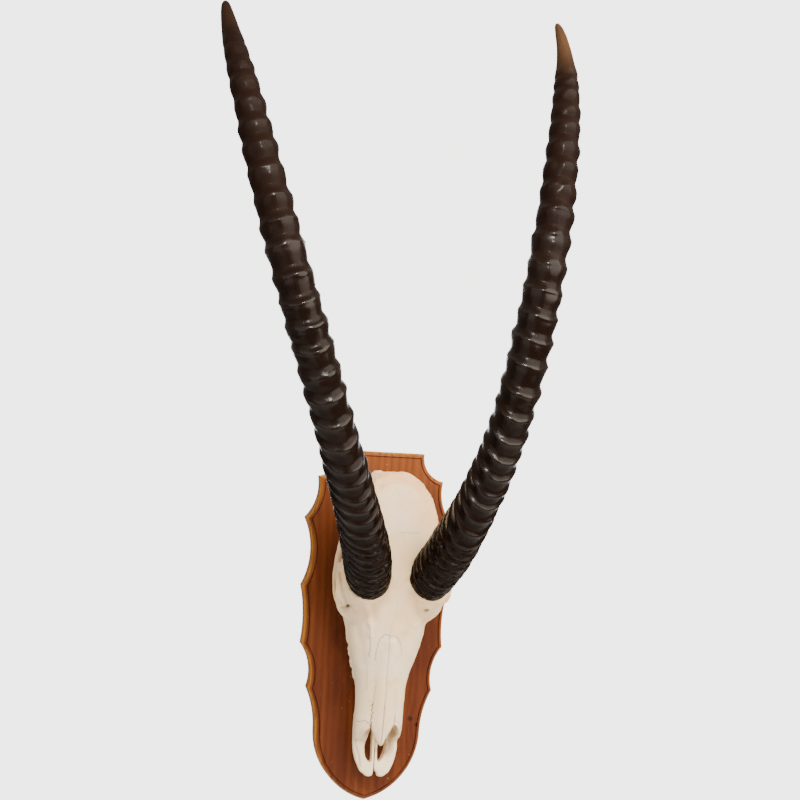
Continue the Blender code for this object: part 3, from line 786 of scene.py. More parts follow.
class Workpiece:
    """A mesh under work, shaped by modifiers that are applied one after another."""

    def __init__(self, mesh: bpy.types.Mesh) -> None:
        """Put the mesh on the bench."""
        self.thing = linked("work", mesh)

    def _apply(self) -> None:
        """Make the modifiers' result the mesh."""
        bpy.context.view_layer.update()
        graph = bpy.context.evaluated_depsgraph_get()
        made = bpy.data.meshes.new_from_object(self.thing.evaluated_get(graph))
        self.thing.modifiers.clear()
        self.thing.data = made

    def fuse(self, voxel: float) -> "Workpiece":
        """Grow overlapping forms into one skin of even faces.

        Args:
            voxel: the size of its faces in cm.

        Returns:
            The same piece.
        """
        modifier = self.thing.modifiers.new("fuse", "REMESH")
        modifier.mode = "VOXEL"
        modifier.voxel_size = voxel * CM
        self._apply()
        return self

    def soften(self, passes: int) -> "Workpiece":
        """Smooth the skin.

        Args:
            passes: how many times it is gone over.

        Returns:
            The same piece.
        """
        modifier = self.thing.modifiers.new("soften", "SMOOTH")
        modifier.iterations = passes
        self._apply()
        return self

    def cut(self, meshes: Sequence[bpy.types.Mesh]) -> "Workpiece":
        """Cut the piece by each mesh in turn.

        Args:
            meshes: the closed cutters.

        Returns:
            The same piece.
        """
        for mesh in meshes:
            cutter = linked("cutter", mesh)
            modifier = self.thing.modifiers.new("cut", "BOOLEAN")
            modifier.operation = "DIFFERENCE"
            modifier.solver = "EXACT"
            modifier.object = cutter
            self._apply()
            bpy.data.objects.remove(cutter, do_unlink=True)
        return self

    def release(self) -> bpy.types.Mesh:
        """Take the mesh off the bench.

        Returns:
            The mesh.
        """
        mesh = self.thing.data
        bpy.data.objects.remove(self.thing, do_unlink=True)
        return mesh


@dataclass(frozen=True)
class Ripple:
    """Soft noise on a horn: its size, and how fast it changes round the horn and along it.

    A shared one is alike on both horns.
    """

    size: float
    around: float
    along: float
    shared: bool = False


@dataclass
class Horn:
    """One horn: a tapering oval that leans to the viewer at its foot and arcs back, with rings.

    Stations are (share of the length from the base, value); angles are degrees.
    """

    side: Side
    length: float = 86.5
    line_steps: int = 240
    columns: int = 72
    rows: int = 900
    base_x: dict[Side, float] = by_side(-4.3, 4.28)
    base_z: dict[Side, float] = by_side(8.05, 8.15)
    base_height: float = 12.3
    lean: tuple[Station, ...] = ((0, 54), (0.06, 46), (0.12, 37), (0.2, 25), (0.35, 7), (0.5, -5),
                                 (0.65, -12), (0.8, -19), (0.9, -28), (1, -42))
    splays: dict[Side, tuple[Station, ...]] = by_side(
        ((0, 11), (0.1, 18.5), (0.2, 21.7), (0.35, 20.1), (0.5, 18.5), (0.65, 15.5), (0.8, 13),
         (0.9, 11), (1, 2)),
        ((0, 11), (0.1, 12), (0.2, 14), (0.35, 10.7), (0.5, 10), (0.65, 8.4), (0.8, 6.9),
         (0.9, 3.5), (1, -3.3)))
    shaft: tuple[Station, ...] = ((0, 2.88), (0.03, 3.1), (0.09, 3.12), (0.18, 2.78), (0.3, 2.54),
                                  (0.45, 2.54), (0.55, 2.43), (0.65, 2.29), (0.72, 2.14),
                                  (0.8, 1.91))
    tips: dict[Side, tuple[Station, ...]] = by_side(
        ((0.88, 1.58), (0.94, 1.17), (0.97, 0.88), (0.99, 0.62), (1, 0.3)),
        ((0.88, 1.5), (0.94, 0.98), (0.97, 0.76), (0.99, 0.52), (1, 0.28)))
    depth_ratio: tuple[Station, ...] = ((0, 1.2), (0.3, 1.12), (0.7, 1.05), (1, 1.0))
    ring_places: dict[Side, tuple[float, ...]] = by_side(
        (0.6, 2.1, 3.7, 5.1, 6.4, 7.6, 8.9, 10.1, 11.3, 12.5, 14.1, 15.9, 17.5, 19.0, 20.9, 22.9,
         25.5, 28.2, 31.2, 34.0, 37.0, 39.9, 43.0, 46.2, 49.8, 52.8, 56.0, 59.6, 63.0, 65.9, 69.0,
         72.2, 74.6, 77.1, 79.1),
        (0.6, 2.0, 3.4, 4.8, 6.2, 7.5, 8.8, 10.0, 11.2, 12.8, 14.7, 16.6, 18.4, 20.1, 22.2, 24.3,
         26.6, 29.4, 32.3, 35.6, 38.7, 41.8, 45.1, 48.4, 52.0, 55.5, 58.7, 61.8, 64.8, 67.8, 70.3,
         72.8, 74.8, 76.7))
    dip: tuple[Station, ...] = ((0, 0.0), (0.09, 1.9), (0.23, 2.0), (0.3, 1.65), (0.43, 0.9),
                                (0.52, 0.75), (0.6, 0.0), (1, 0.0))
    rise: tuple[Station, ...] = ((0, 0.14), (0.1, 0.18), (0.2, 0.28), (0.35, 0.35), (0.7, 0.34),
                                 (0.85, 0.22), (0.92, 0.1), (1, 0.04))
    back_share: float = 0.72
    valley: float = 0.5
    lip: tuple[Station, ...] = ((0, 0.4), (0.25, 0.5), (0.5, 0.7), (0.7, 0.95), (1, 1.0))
    bead: float = 0.2
    ring_climb: Station = (0.22, 0.98)
    lip_power: float = 1.7
    bead_share: tuple[Station, ...] = ((0, 0.2), (0.45, 0.16), (0.75, 0.04), (1, 0.0))
    full_gap: float = 2.2
    wrinkle_gap: float = 0.7
    wrinkle_rise: float = 0.2
    wrinkles_end: Station = (9.0, 17.0)
    valley_from: Station = (4.0, 16.0)
    calm_tip: Station = (1.0, 6.0)
    tip_round: float = 0.3
    aged_from: Station = (38.0, 62.0)
    pale_starts: dict[Side, float] = by_side(7.0, 12.0)
    pale_full: float = 4.5
    pale_shares: dict[Side, float] = by_side(0.12, 1.0)
    pits: dict[Side, tuple[Place, ...]] = by_side(
        ((0.62, 10.3, 0.2), (0.8, 9.8, 0.16), (0.55, 9.6, 0.13), (0.7, 15.4, 0.16),
         (0.85, 16.1, 0.14)),
        ((-0.35, 8.4, 0.14), (0.5, 30.2, 0.15)))
    pit_depth: float = 0.8
    wavers: tuple[Ripple, ...] = (Ripple(0.16, 1.0, 0.4), Ripple(0.07, 3.0, 1.1))
    evenness: float = 0.86
    uneven: Ripple = Ripple(0.4, 1.5, 0.7, True)
    fold_shifts: tuple[Ripple, ...] = (Ripple(3.4, 1.6, 0.8), Ripple(1.2, 4.0, 1.9, True))
    fold_share: float = 0.45
    fold_breaks: Ripple = Ripple(1.1, 3.1, 1.3, True)
    fold_power: float = 1.4
    dents: Ripple = Ripple(0.05, 1.8, 0.55)
    ridges: Ripple = Ripple(0.018, 7.0, 0.18)
    seed: float = 7.0

    def direction(self, share: float) -> Vector:
        """Find the way the horn's middle line runs.

        Args:
            share: the share of its length from the base.

        Returns:
            The direction, one unit long.
        """
        lean = math.radians(smooth_value(self.lean, share))
        splay = math.radians(smooth_value(self.splays[self.side], share))
        return Vector((self.side.value * math.sin(splay), -math.cos(splay) * math.sin(lean),
                       math.cos(splay) * math.cos(lean)))

    def middle_line(self) -> list[Vector]:
        """Walk along the middle line.

        Returns:
            Evenly spaced points from the base to the tip.
        """
        points = [place(self.base_x[self.side], self.base_z[self.side], self.base_height)]
        step = self.length * CM / self.line_steps
        for index in range(self.line_steps):
            share = (index + 0.5) / self.line_steps
            points.append(points[-1] + self.direction(share) * step)
        return points

    def crest(self, level: float) -> tuple[float, float]:
        """Say how far up a ring's slope a point lies.

        A ring rises slowly on its side toward the base, ends in a bead and drops steeply past it.

        Args:
            level: the point's place among the rings, as a distance from the base at the sides.

        Returns:
            The height, 1 on a crest and 0 in a valley, and the share of the way to the next crest.
        """
        rings = self.ring_places[self.side]
        index = bisect_right(rings, level) - 1
        start = rings[index] if index >= 0 else -1.0
        end = rings[index + 1] if index + 1 < len(rings) else self.length
        gap, past, ahead = end - start, level - start, end - level
        narrow = min(1.0, gap / self.full_gap)
        up = min(max(level / self.length, 0.0), 1.0)
        lip = smooth_value(self.lip, up) * narrow
        bead = smooth_value(self.bead_share, up)
        above = math.exp(-(max(past, 0.0) / lip) ** self.lip_power)
        share = min(max(past / gap, 0.0), 1.0)
        if index + 1 >= len(rings):
            return above, share
        below = (1.0 - bead) * fade(share, *self.ring_climb)
        below += bead * bell(ahead, self.bead * narrow)
        return max(above, below), share

    def level(self, angle: float, along: float) -> float:
        """Find a point's place among the rings, which dip toward the base at the front.

        Args:
            angle: the point's angle from the front of the horn, in radians.
            along: its distance from the base.

        Returns:
            How far from the base the same place on a ring lies at the horn's sides.
        """
        level = along
        for _ in range(3):
            share = min(max(level / self.length, 0.0), 1.0)
            level = along + smooth_value(self.dip, share) * math.cos(angle)
        return level

    def ripple(self, point: Place, *ripples: Ripple) -> float:
        """Add up soft noise at a point of the horn.

        Args:
            point: the cosine and sine of the point's angle, and its distance from the base.
            ripples: the noises that are added up.

        Returns:
            The sum, which goes up and down by about half of the noises' sizes.
        """
        total = 0.0
        for each in ripples:
            seed = 0.0 if each.shared else self.seed * self.side.value
            total += each.size * noise.noise(Vector((
                point[0] * each.around, point[1] * each.around, point[2] * each.along + seed)))
        return total

    def relief(self, angle: float, along: float, width: float) -> tuple[float, float, float]:
        """Work out how far a point stands out of the plain horn.

        Args:
            angle: the point's angle from the front of the horn, in radians.
            along: its distance from the base.
            width: the plain horn's half width there.

        Returns:
            The rise in cm, how far up a ring the point is, and the share of the way to the next.
        """
        point = (math.cos(angle), math.sin(angle), along)
        waver = self.ripple(point, *self.wavers)
        calm = fade(along, *(self.length - reach for reach in self.calm_tip))
        level = self.level(angle, along)
        crest, slope = self.crest(level + waver)
        facing = self.back_share + (1 - self.back_share) * (0.5 + 0.5 * point[0])
        uneven = self.evenness + self.ripple(point, self.uneven)
        top = smooth_value(self.rise, min(max(level / self.length, 0.0), 1.0))
        sunk = self.valley * fade(level, *self.valley_from)
        rise = top * facing * (max(min(crest * uneven, 1.0), -0.1) * (1.0 + sunk) - sunk)
        young = fade(level, *reversed(self.wrinkles_end))
        if young > 0.0:
            phase = self.ripple(point, *self.fold_shifts)
            fold = abs(math.sin(math.pi * (level + waver * 2) / self.wrinkle_gap + phase))
            breaks = self.fold_share + self.ripple(point, self.fold_breaks)
            depth = self.wrinkle_rise * young * (0.3 + max(breaks, 0.0)) * (0.5 + facing)
            rise -= depth * (1 - fold) ** self.fold_power
        rise += min(self.ripple(point, self.dents), 0.0) * calm
        rise += self.ripple(point, self.ridges) * calm * (1 - crest)
        for turn, at, size in self.pits[self.side]:
            away = math.hypot((angle - turn) * width, along - at)
            rise -= size * self.pit_depth * bell(away, size)
        return rise, crest, slope

    def mesh(self) -> bpy.types.Mesh:
        """Wrap a grid round the middle line and close its ends.

        Returns:
            The horn's mesh, with the attributes that its finish reads.
        """
        line = self.middle_line()
        pale_from = self.length - self.pale_starts[self.side]
        bm = bmesh.new()
        straight = bm.verts.layers.float_vector.new("straight")
        layers = [bm.verts.layers.float.new(name) for name in ("crest", "slope", "aged", "pale")]
        bmesh.ops.create_grid(bm, x_segments=self.columns, y_segments=self.rows, size=1.0)
        stations: dict[float, tuple] = {}
        for vertex in bm.verts:
            turn = math.pi * (round(vertex.co.x, 5) + 1.0)
            angle = turn if turn <= math.pi else turn - 2 * math.pi
            share = min(max((round(vertex.co.y, 5) + 1.0) / 2, 0.0), 1.0)
            if share not in stations:
                stations[share] = self.station(line, share)
            centre, front, across, width, depth, dome = stations[share]
            along = share * self.length
            rise, crest, slope = self.relief(angle, along, width)
            rise *= dome
            vertex.co = centre + (front * math.cos(angle) * (depth * dome + rise)
                                  + across * math.sin(angle) * (width * dome + rise)) * CM
            vertex[straight] = Vector((math.cos(angle) * width, math.sin(angle) * width, along))
            pale = self.pale_shares[self.side] * fade(along, pale_from, self.length - self.pale_full)
            values = (max(crest, 0.0), slope, fade(along, *self.aged_from), pale)
            for layer, value in zip(layers, values):
                vertex[layer] = value
        bmesh.ops.remove_doubles(bm, verts=bm.verts, dist=WELD)
        ends = [edge for edge in bm.edges if edge.is_boundary]
        bmesh.ops.holes_fill(bm, edges=ends, sides=0)
        return outward_mesh(bm)

    def station(self, line: Sequence[Vector], share: float) -> tuple:
        """Work out the plain horn's section at a share of its length.

        Args:
            line: the middle line's points.
            share: the share of the length from the base.

        Returns:
            The section's centre, its front and sideways directions, its half width, its half
            depth, and how much of both is left on the round of the tip.
        """
        tangent = self.direction(share)
        front = Vector((0.0, -1.0, 0.0))
        front = (front - tangent * front.dot(tangent)).normalized()
        steps = share * self.line_steps
        index = min(int(steps), self.line_steps - 1)
        centre = line[index].lerp(line[index + 1], steps - index)
        width = smooth_value(self.shaft + self.tips[self.side], share)
        depth = width * smooth_value(self.depth_ratio, share)
        into_tip = max(0.0, share * self.length - (self.length - self.tip_round)) / self.tip_round
        dome = math.sqrt(max(1.0 - into_tip ** 2, 0.0))
        return centre, front, tangent.cross(front), width, depth, dome

    def seat(self, swell: float, reaches: Sequence[float], sides: int = 40) -> bpy.types.Mesh:
        """Build the space that the skull leaves free round the horn's foot.

        Args:
            swell: how much wider than the plain horn it is, in cm.
            reaches: distances along the horn, from just under its base.
            sides: the sides of its sections.

        Returns:
            The cutter's mesh.
        """
        line = self.middle_line()
        rings = []
        for along in reaches:
            share = max(along, 0.0) / self.length
            centre, front, across, width, depth, _ = self.station(line, share)
            centre = centre + self.direction(0.0) * min(along, 0.0) * CM
            rings.append([centre + (front * math.cos(turn) * (depth + swell)
                                    + across * math.sin(turn) * (width + swell)) * CM
                          for turn in turns(sides)])
        return skinned(rings)

    def build(self, material: bpy.types.Material) -> None:
        """Show the horn."""
        node = "horn_" + self.side.label
        show(node + "_sheath", self.mesh(), material, [node], crisp=55.0)


@dataclass(frozen=True)
class Mark:
    """A line on the front of the bone: a seam, a groove, a ridge or a band of tint.

    Its route holds (x, z) places in cm. It stands out by its rise, and less than 0 cuts in. Its
    stain darkens seams, and paints shade into grooves and pits.
    """

    route: tuple[Station, ...]
    half_width: float
    rise: float
    stain: float = 0.0
    waver: float = 0.0
    tint: Tint = Tint.SEAM


@dataclass(frozen=True)
class Spot:
    """A round place on the bone, at (x, z, height) in cm: a swelling or a patch of tint."""

    centre: Place
    radius: float
    strength: float = 0.0
    tint: Tint = Tint.WARM
    rise: float = 0.0


@dataclass
class Skull:
    """The skull: overlapping forms fused into one skin, then cut, refined and carved.

    Sections are (z, half width, top height, bottom height); plates are (z, half width, height of
    the middle, x of the middle); tubes are (x, z, height, radius).
    """

    horns: dict[Side, Horn]
    sections: tuple[tuple[float, ...], ...] = (
        (22.35, 1.6, 8.2, 6.5), (21.8, 2.9, 9.0, 4.4), (20.5, 4.35, 10.0, 3.2),
        (18.8, 5.45, 11.0, 2.8), (16.3, 6.15, 12.0, 2.9), (13.5, 6.0, 12.9, 3.4),
        (11.0, 5.2, 13.4, 4.0), (8.5, 4.4, 13.5, 4.6), (5.5, 4.6, 13.0, 4.2),
        (3.4, 5.3, 12.4, 3.4), (1.6, 5.3, 11.7, 2.6), (0.0, 5.35, 11.1, 2.2),
        (-1.8, 5.0, 10.5, 2.1), (-3.9, 4.4, 9.7, 2.0), (-5.6, 3.85, 9.1, 2.0),
        (-7.5, 3.5, 8.5, 2.0), (-10.0, 3.4, 7.7, 2.2), (-13.2, 3.4, 6.7, 2.3),
        (-16.0, 3.25, 5.7, 2.2), (-18.2, 2.85, 4.6, 2.2))
    squaring: float = 0.78
    roof: tuple[tuple[float, ...], ...] = (
        (13.2, 5.4, 12.5, 0.0), (11.6, 7.0, 12.9, 0.0), (9.3, 7.8, 13.2, 0.0),
        (6.8, 7.95, 13.1, 0.0), (4.7, 7.4, 12.6, 0.0), (3.1, 6.4, 12.0, 0.0),
        (1.2, 5.0, 11.3, 0.0))
    roof_drop: float = 2.5
    roof_thick: float = 1.4
    nasals: tuple[tuple[float, ...], ...] = (
        (-0.8, 0.9, 11.2, 0.0), (-2.6, 1.75, 10.55, 0.0), (-5.5, 1.9, 9.55, 0.0),
        (-9.0, 1.75, 8.4, 0.0), (-12.0, 1.6, 7.45, 0.08), (-13.9, 1.45, 6.9, 0.18),
        (-15.2, 0.75, 6.45, 0.08), (-16.2, 0.3, 6.15, 0.15))
    nasals_drop: float = 0.75
    nasals_thick: float = 0.7
    arch_power: float = 2.3
    cavity: tuple[tuple[float, ...], ...] = (
        (-6.5, 0.8, 6.8, 5.0), (-9.0, 1.3, 6.9, 3.9), (-12.0, 1.7, 6.5, 3.6),
        (-13.6, 2.1, 6.9, 3.5), (-15.0, 2.35, 7.6, 3.4), (-16.5, 2.35, 7.4, 3.2),
        (-18.0, 2.05, 7.0, 3.2), (-22.0, 1.8, 6.4, 3.2))
    cavity_shift: float = 0.35
    nose_cut_top: Station = (-13.4, 6.8)
    nose_cut_angle: float = 38.0
    nose_cut_size: float = 12.0
    nose_plate: tuple[Station, ...] = (
        (3.0, -11.5), (3.25, -14.5), (3.2, -17.3), (2.85, -18.9), (2.15, -20.4), (1.15, -21.2),
        (0.4, -21.2), (0.12, -19.9))
    nose_plate_height: float = 2.75
    nose_plate_thick: float = 1.3
    nose_plate_slope: float = 1.5
    nose_plate_pivot: float = -18.9
    palate_slits: dict[Side, tuple[Station, ...]] = by_side(
        ((-0.46, -13.6), (-0.75, -13.8), (-1.15, -14.8), (-1.45, -15.8), (-1.62, -16.9),
         (-1.6, -17.7), (-1.45, -18.3), (-1.15, -18.85), (-0.85, -19.08), (-0.62, -19.1),
         (-0.48, -18.8)),
        ((0.24, -13.6), (0.75, -13.8), (1.15, -14.8), (1.4, -15.8), (1.5, -16.7), (1.42, -17.4),
         (1.2, -18.1), (0.9, -18.7), (0.6, -19.05), (0.38, -19.05), (0.24, -18.7)))
    nasal_slit: tuple[Station, ...] = (
        (-1.45, -12.7), (-1.58, -13.3), (-1.75, -14.0), (-1.95, -14.8), (-2.15, -15.7),
        (-0.6, -15.7), (-1.0, -14.6), (-1.25, -13.8), (-1.38, -13.2))
    notch: tuple[Station, ...] = (
        (-0.1, -15.5), (-0.2, -17.9), (-0.26, -19.2), (-0.31, -19.95), (-0.3, -21.8), (0.6, -21.8),
        (-0.07, -19.95), (-0.1, -19.2), (-0.05, -17.9), (0.02, -15.5))
    nose_cut_depth: float = 5.0
    nasal_slit_height: float = 7.0
    drift: Station = (-4.0, 0.032)
    orbit: Place = (7.6, 7.0, 8.25)
    orbit_ring: Station = (2.3, 0.45)
    orbit_turn: float = -6.0
    orbit_hollow: Place = (3.9, 2.15, 2.0)
    cheek_bone: tuple[Place, Place] = ((5.7, 3.9, 7.9), (1.4, 1.5, 2.2))
    tubes: tuple[tuple[tuple[float, ...], ...], ...] = (
        ((4.3, -1.6, 5.4, 0.9), (4.8, 1.0, 5.9, 0.95), (5.9, 3.6, 5.9, 0.8), (7.1, 6.2, 5.6, 0.6),
         (7.2, 9.2, 5.8, 0.55), (6.9, 12.0, 6.2, 0.5), (6.2, 14.6, 6.4, 0.65),
         (5.4, 16.4, 6.3, 0.8)),
        ((1.95, -9.6, 2.75, 0.9), (2.35, -6.5, 2.7, 1.1), (2.9, -3.0, 2.7, 1.3),
         (3.05, 0.2, 2.7, 1.3), (2.9, 2.0, 2.8, 1.1)),
        ((7.35, 4.6, 8.2, 0.5), (6.8, 3.2, 8.0, 0.55), (5.3, 1.75, 7.1, 0.6), (4.3, 0.5, 6.3, 0.55)),
        ((3.9, 19.2, 4.6, 0.9), (3.6, 19.4, 2.6, 0.6), (3.35, 19.5, 0.7, 0.4)),
        ((2.0, 1.6, 3.4, 0.7), (1.8, 4.6, 3.5, 0.6), (1.7, 8.0, 3.9, 0.55), (1.8, 10.6, 4.6, 0.5)))
    balls: tuple[tuple[Place, Place], ...] = (
        ((1.75, 21.2, 4.0), (1.2, 1.15, 1.4)), ((2.5, 16.9, 2.9), (1.0, 1.5, 1.2)))
    spinal_opening: tuple[Place, Place] = ((0.0, 22.6, 5.6), (1.15, 2.6, 1.05))
    pedicle_radius: float = 3.05
    pedicle_flare: float = 1.12
    pedicle_length: float = 6.0
    pedicle_rise: float = 0.08
    seat_swell: float = 0.12
    seat_reaches: tuple[float, ...] = (-0.03, 1.5, 3.5, 6.0, 11.0)
    tooth_seat: Place = (9.0, 3.42, 12.2)
    tooth_seat_z: float = -3.8
    voxel: float = 0.2
    smooth_passes: int = 7
    body_sides: int = 64
    cavity_sides: int = 40
    arch_steps: int = 8
    tube_steps: int = 4
    tube_sides: int = 16
    ball_sides: int = 40
    ball_rings: int = 24
    rim_sides: int = 16
    rim_steps: int = 48
    pedicle_sides: int = 48
    fine_under: float = 0.15
    fine_margin: float = 0.2
    fine_facing: float = 0.15
    fine_height: float = 3.0
    front_facing: Station = (0.1, 0.45)
    front_height: float = 2.6
    bone_noise: tuple[Place, ...] = ((0.045, 0.55, 3.0), (0.016, 2.3, 11.0))
    crown_noise: tuple[Place, ...] = ((0.12, 0.9, 15.0), (0.1, 1.9, 23.0))
    marks: tuple[Mark, ...] = (
        Mark(((-0.49, 0.13), (-1.2, 0.2), (-1.6, -0.3), (-1.86, -0.9), (-2.0, -2.2), (-1.98, -3.6)),
             0.05, -0.05, 0.6, 0.06),
        Mark(((0.12, 0.05), (0.5, -0.1), (0.85, -0.45), (1.34, -1.2), (1.67, -2.5)), 0.05, -0.05,
             0.5, 0.06),
        Mark(((-0.5, 0.1), (-0.2, -0.1), (0.12, 0.05)), 0.05, -0.03, 0.4, 0.02),
        Mark(((-0.46, 0.1), (-0.38, -1.7), (-0.2, -3.5), (-0.22, -4.6), (-0.08, -5.6), (0.13, -8.1),
              (0.19, -10.1)), 0.045, -0.05, 0.5, 0.05),
        Mark(((0.19, -10.1), (0.34, -12.4), (0.38, -13.9), (0.5, -15.6), (0.5, -16.3)), 0.055,
             -0.06, 0.75, 0.04),
        Mark(((1.7, -7.8), (1.81, -8.9), (1.99, -10.7), (2.09, -11.8)), 0.04, -0.03, 0.3, 0.05),
        Mark(((2.09, -11.8), (2.06, -13.3), (1.95, -14.2)), 0.06, -0.05, 0.8, 0.04),
        Mark(((-1.33, -7.1), (-1.35, -8.4), (-1.41, -9.0), (-1.42, -9.9)), 0.05, -0.04, 0.45, 0.1),
        Mark(((-1.42, -9.9), (-1.42, -10.8), (-1.28, -11.5), (-1.32, -12.4), (-1.24, -13.5)),
             0.07, -0.1, 0.95, 0.16),
        Mark(((-3.1, -12.9), (-2.66, -12.8), (-2.08, -12.5), (-1.72, -12.9), (-1.32, -12.55)),
             0.06, -0.045, 0.5, 0.03),
        Mark(((2.0, -12.2), (2.36, -12.7), (2.87, -12.8), (3.15, -13.2), (3.3, -13.8)), 0.06,
             -0.045, 0.45, 0.03),
        Mark(((-3.45, 1.6), (-3.2, 0.8), (-3.11, -0.2), (-2.84, -1.9), (-2.9, -3.2)), 0.08, -0.06,
             0.45, 0.07),
        Mark(((-2.93, -4.5), (-2.61, -6.2), (-2.44, -8.1)), 0.08, -0.03, 0.2, 0.04),
        Mark(((-0.1, 5.0), (-0.28, 2.6), (-0.31, 1.3), (-0.44, 0.1)), 0.05, -0.02, 0.14, 0.08),
        Mark(((-2.6, -15.9), (-2.5, -16.6), (-2.2, -17.4), (-1.89, -18.3), (-1.7, -19.6)), 0.14,
             -0.14, 0.4, 0.02),
        # The groove along the left brow, with painted shade in it.
        Mark(((-7.9, 8.4), (-7.6, 6.8), (-7.2, 5.4), (-6.6, 4.1), (-6.2, 3.3)), 0.14, -0.08, 0.3,
             0.05),
        Mark(((-0.3, 14.3), (0.5, 14.35), (1.3, 14.3), (2.4, 14.4)), 0.07, -0.02, 0.22, 0.12),
        Mark(((-4.9, 18.4), (-4.1, 19.9), (-2.9, 21.1), (-1.3, 21.75), (0.4, 21.8), (1.9, 21.4),
              (3.2, 20.5), (4.4, 19.0), (5.2, 17.4), (5.6, 15.6)), 0.3, 0.2, 0.0, 0.1),
        Mark(((-4.4, 18.4), (-3.6, 19.6), (-2.5, 20.5), (-1.0, 21.1), (0.6, 21.1), (1.8, 20.7),
              (2.9, 19.9), (4.0, 18.5)), 0.2, -0.2, 0.1, 0.1),
        Mark(((-4.45, 4.2), (-3.95, 3.4), (-3.55, 2.4), (-3.3, 1.3), (-3.15, 0.0)), 0.34, 0.22),
        Mark(((-3.55, 4.0), (-3.2, 3.0), (-2.75, 2.0)), 0.45, -0.16),
        Mark(((4.3, 4.2), (3.95, 3.5), (3.7, 2.6), (3.4, 1.5)), 0.4, 0.2),
        Mark(((1.75, 5.6), (1.5, 4.4), (1.1, 3.0), (0.85, 2.0)), 0.75, -0.26),
        Mark(((-1.8, 5.8), (-1.6, 4.6), (-1.4, 3.4)), 0.7, -0.17),
        Mark(((-5.0, 1.2), (-4.4, -0.8), (-3.9, -2.4), (-3.5, -4.2)), 0.6, -0.24),
        Mark(((5.0, 1.2), (4.5, -0.8), (4.0, -2.4)), 0.6, -0.17),
        # The hollow inner wall of the right nose opening, with painted shade and tan stain in it.
        Mark(((2.3, -14.5), (2.25, -15.5), (2.4, -16.4), (2.3, -17.1), (1.8, -17.8)), 0.55, -0.55,
             0.8, 0.03, Tint.STAIN),
        # Pits, with painted shade in them.
        Mark(((-6.6, 3.5), (-6.35, 3.85)), 0.22, -0.42, 0.95),
        Mark(((-6.9, 3.3), (-6.5, 3.05)), 0.24, -0.25, 0.4),
        Mark(((3.95, 3.88), (4.15, 3.97)), 0.17, -0.4, 0.95),
        Mark(((-5.2, 17.6), (-4.3, 19.8), (-2.9, 21.1), (-1.3, 21.8), (0.4, 21.9), (1.9, 21.5),
              (3.2, 20.6), (4.5, 19.1), (5.4, 17.4), (5.8, 15.6), (6.0, 13.5)), 0.6, 0.0, 0.8,
             0.1, Tint.WARM))
    tint_spread: float = 1.3
    nasal_seam: Place = (-0.35, 0.06, 16.0)
    nasal_swell_from: Station = (0.5, -1.0)
    nasal_swell_end: float = -17.0
    nasal_bulge: Place = (0.75, 0.95, 0.07)
    # Where painted shade, with tan stain, goes in the nose, the eye sockets and under the bone.
    shade_and_stain_width: float = 2.6
    shade_and_stain_z: Station = (-18.6, -9.0)
    shade_and_stain_height: Station = (3.2, 6.0)
    shade_and_stain_facing: float = 0.25
    shade_and_stain_share: float = 0.5
    socket_shade_and_stain: Station = (1.6, 2.2)
    under_shade_and_stain: float = 0.3
    collar: Place = (3.3, 0.55, 1.6)
    crown_rugged: Station = (16.0, 19.5)
    warm_from: Station = (-5.0, 4.0)
    warm_share: float = 0.34
    root_bumps: tuple[Station, ...] = ((-4.15, -3.1), (-4.02, -3.8), (-3.8, -4.9), (-3.62, -5.5),
                                       (-3.42, -6.5), (-3.3, -7.1))
    root_bump: Place = (2.7, 0.36, 0.22)
    # The first spot is painted shade, with tan stain, in the hollow behind the left horn; the rest
    # are a warm flush.
    spots: tuple[Spot, ...] = (
        Spot((-7.2, 10.2, 7.4), 1.3, 0.9, Tint.STAIN), Spot((5.2, 16.8, 10.0), 3.4, 0.75),
        Spot((4.6, 19.2, 9.0), 2.2, 0.6), Spot((-3.4, 3.6, 12.4), 1.2, 0.28),
        Spot((4.2, 2.6, 11.6), 1.5, 0.25), Spot((7.3, 5.3, 10.6), 1.6, 0.35),
        Spot((0.0, 11.0, 13.3), 1.5, 0.18))

    def oval(self, z: float, half_width: float, top: float, bottom: float, sides: int) -> Ring:
        """Lay out one section across the skull, squarer than an ellipse.

        Args:
            z: where it lies.
            half_width: its half width.
            top: the height of its top.
            bottom: the height of its underside.
            sides: how many points it has.

        Returns:
            Its points.
        """
        middle, half_height = (top + bottom) / 2, (top - bottom) / 2
        points = []
        for angle in turns(sides):
            across, up = (math.copysign(abs(part) ** self.squaring, part)
                          for part in (math.cos(angle), math.sin(angle)))
            points.append(place(half_width * across, z, middle + half_height * up))
        return points

    def plate(self, stations: Sequence[Sequence[float]], drop: float,
              thick: float) -> bpy.types.Mesh:
        """Build a plate that arches down to both sides.

        Args:
            stations: the sections across it.
            drop: how far its edges hang below its middle.
            thick: its thickness.

        Returns:
            The mesh.
        """
        shares = [step / self.arch_steps - 1 for step in range(2 * self.arch_steps + 1)]
        rings = []
        for z, half_width, top, x in stations:
            arch = [(x + share * half_width, top - drop * abs(share) ** self.arch_power)
                    for share in shares]
            under = [place(across, z, height - thick) for across, height in reversed(arch)]
            rings.append([place(across, z, height) for across, height in arch] + under)
        return skinned(rings)

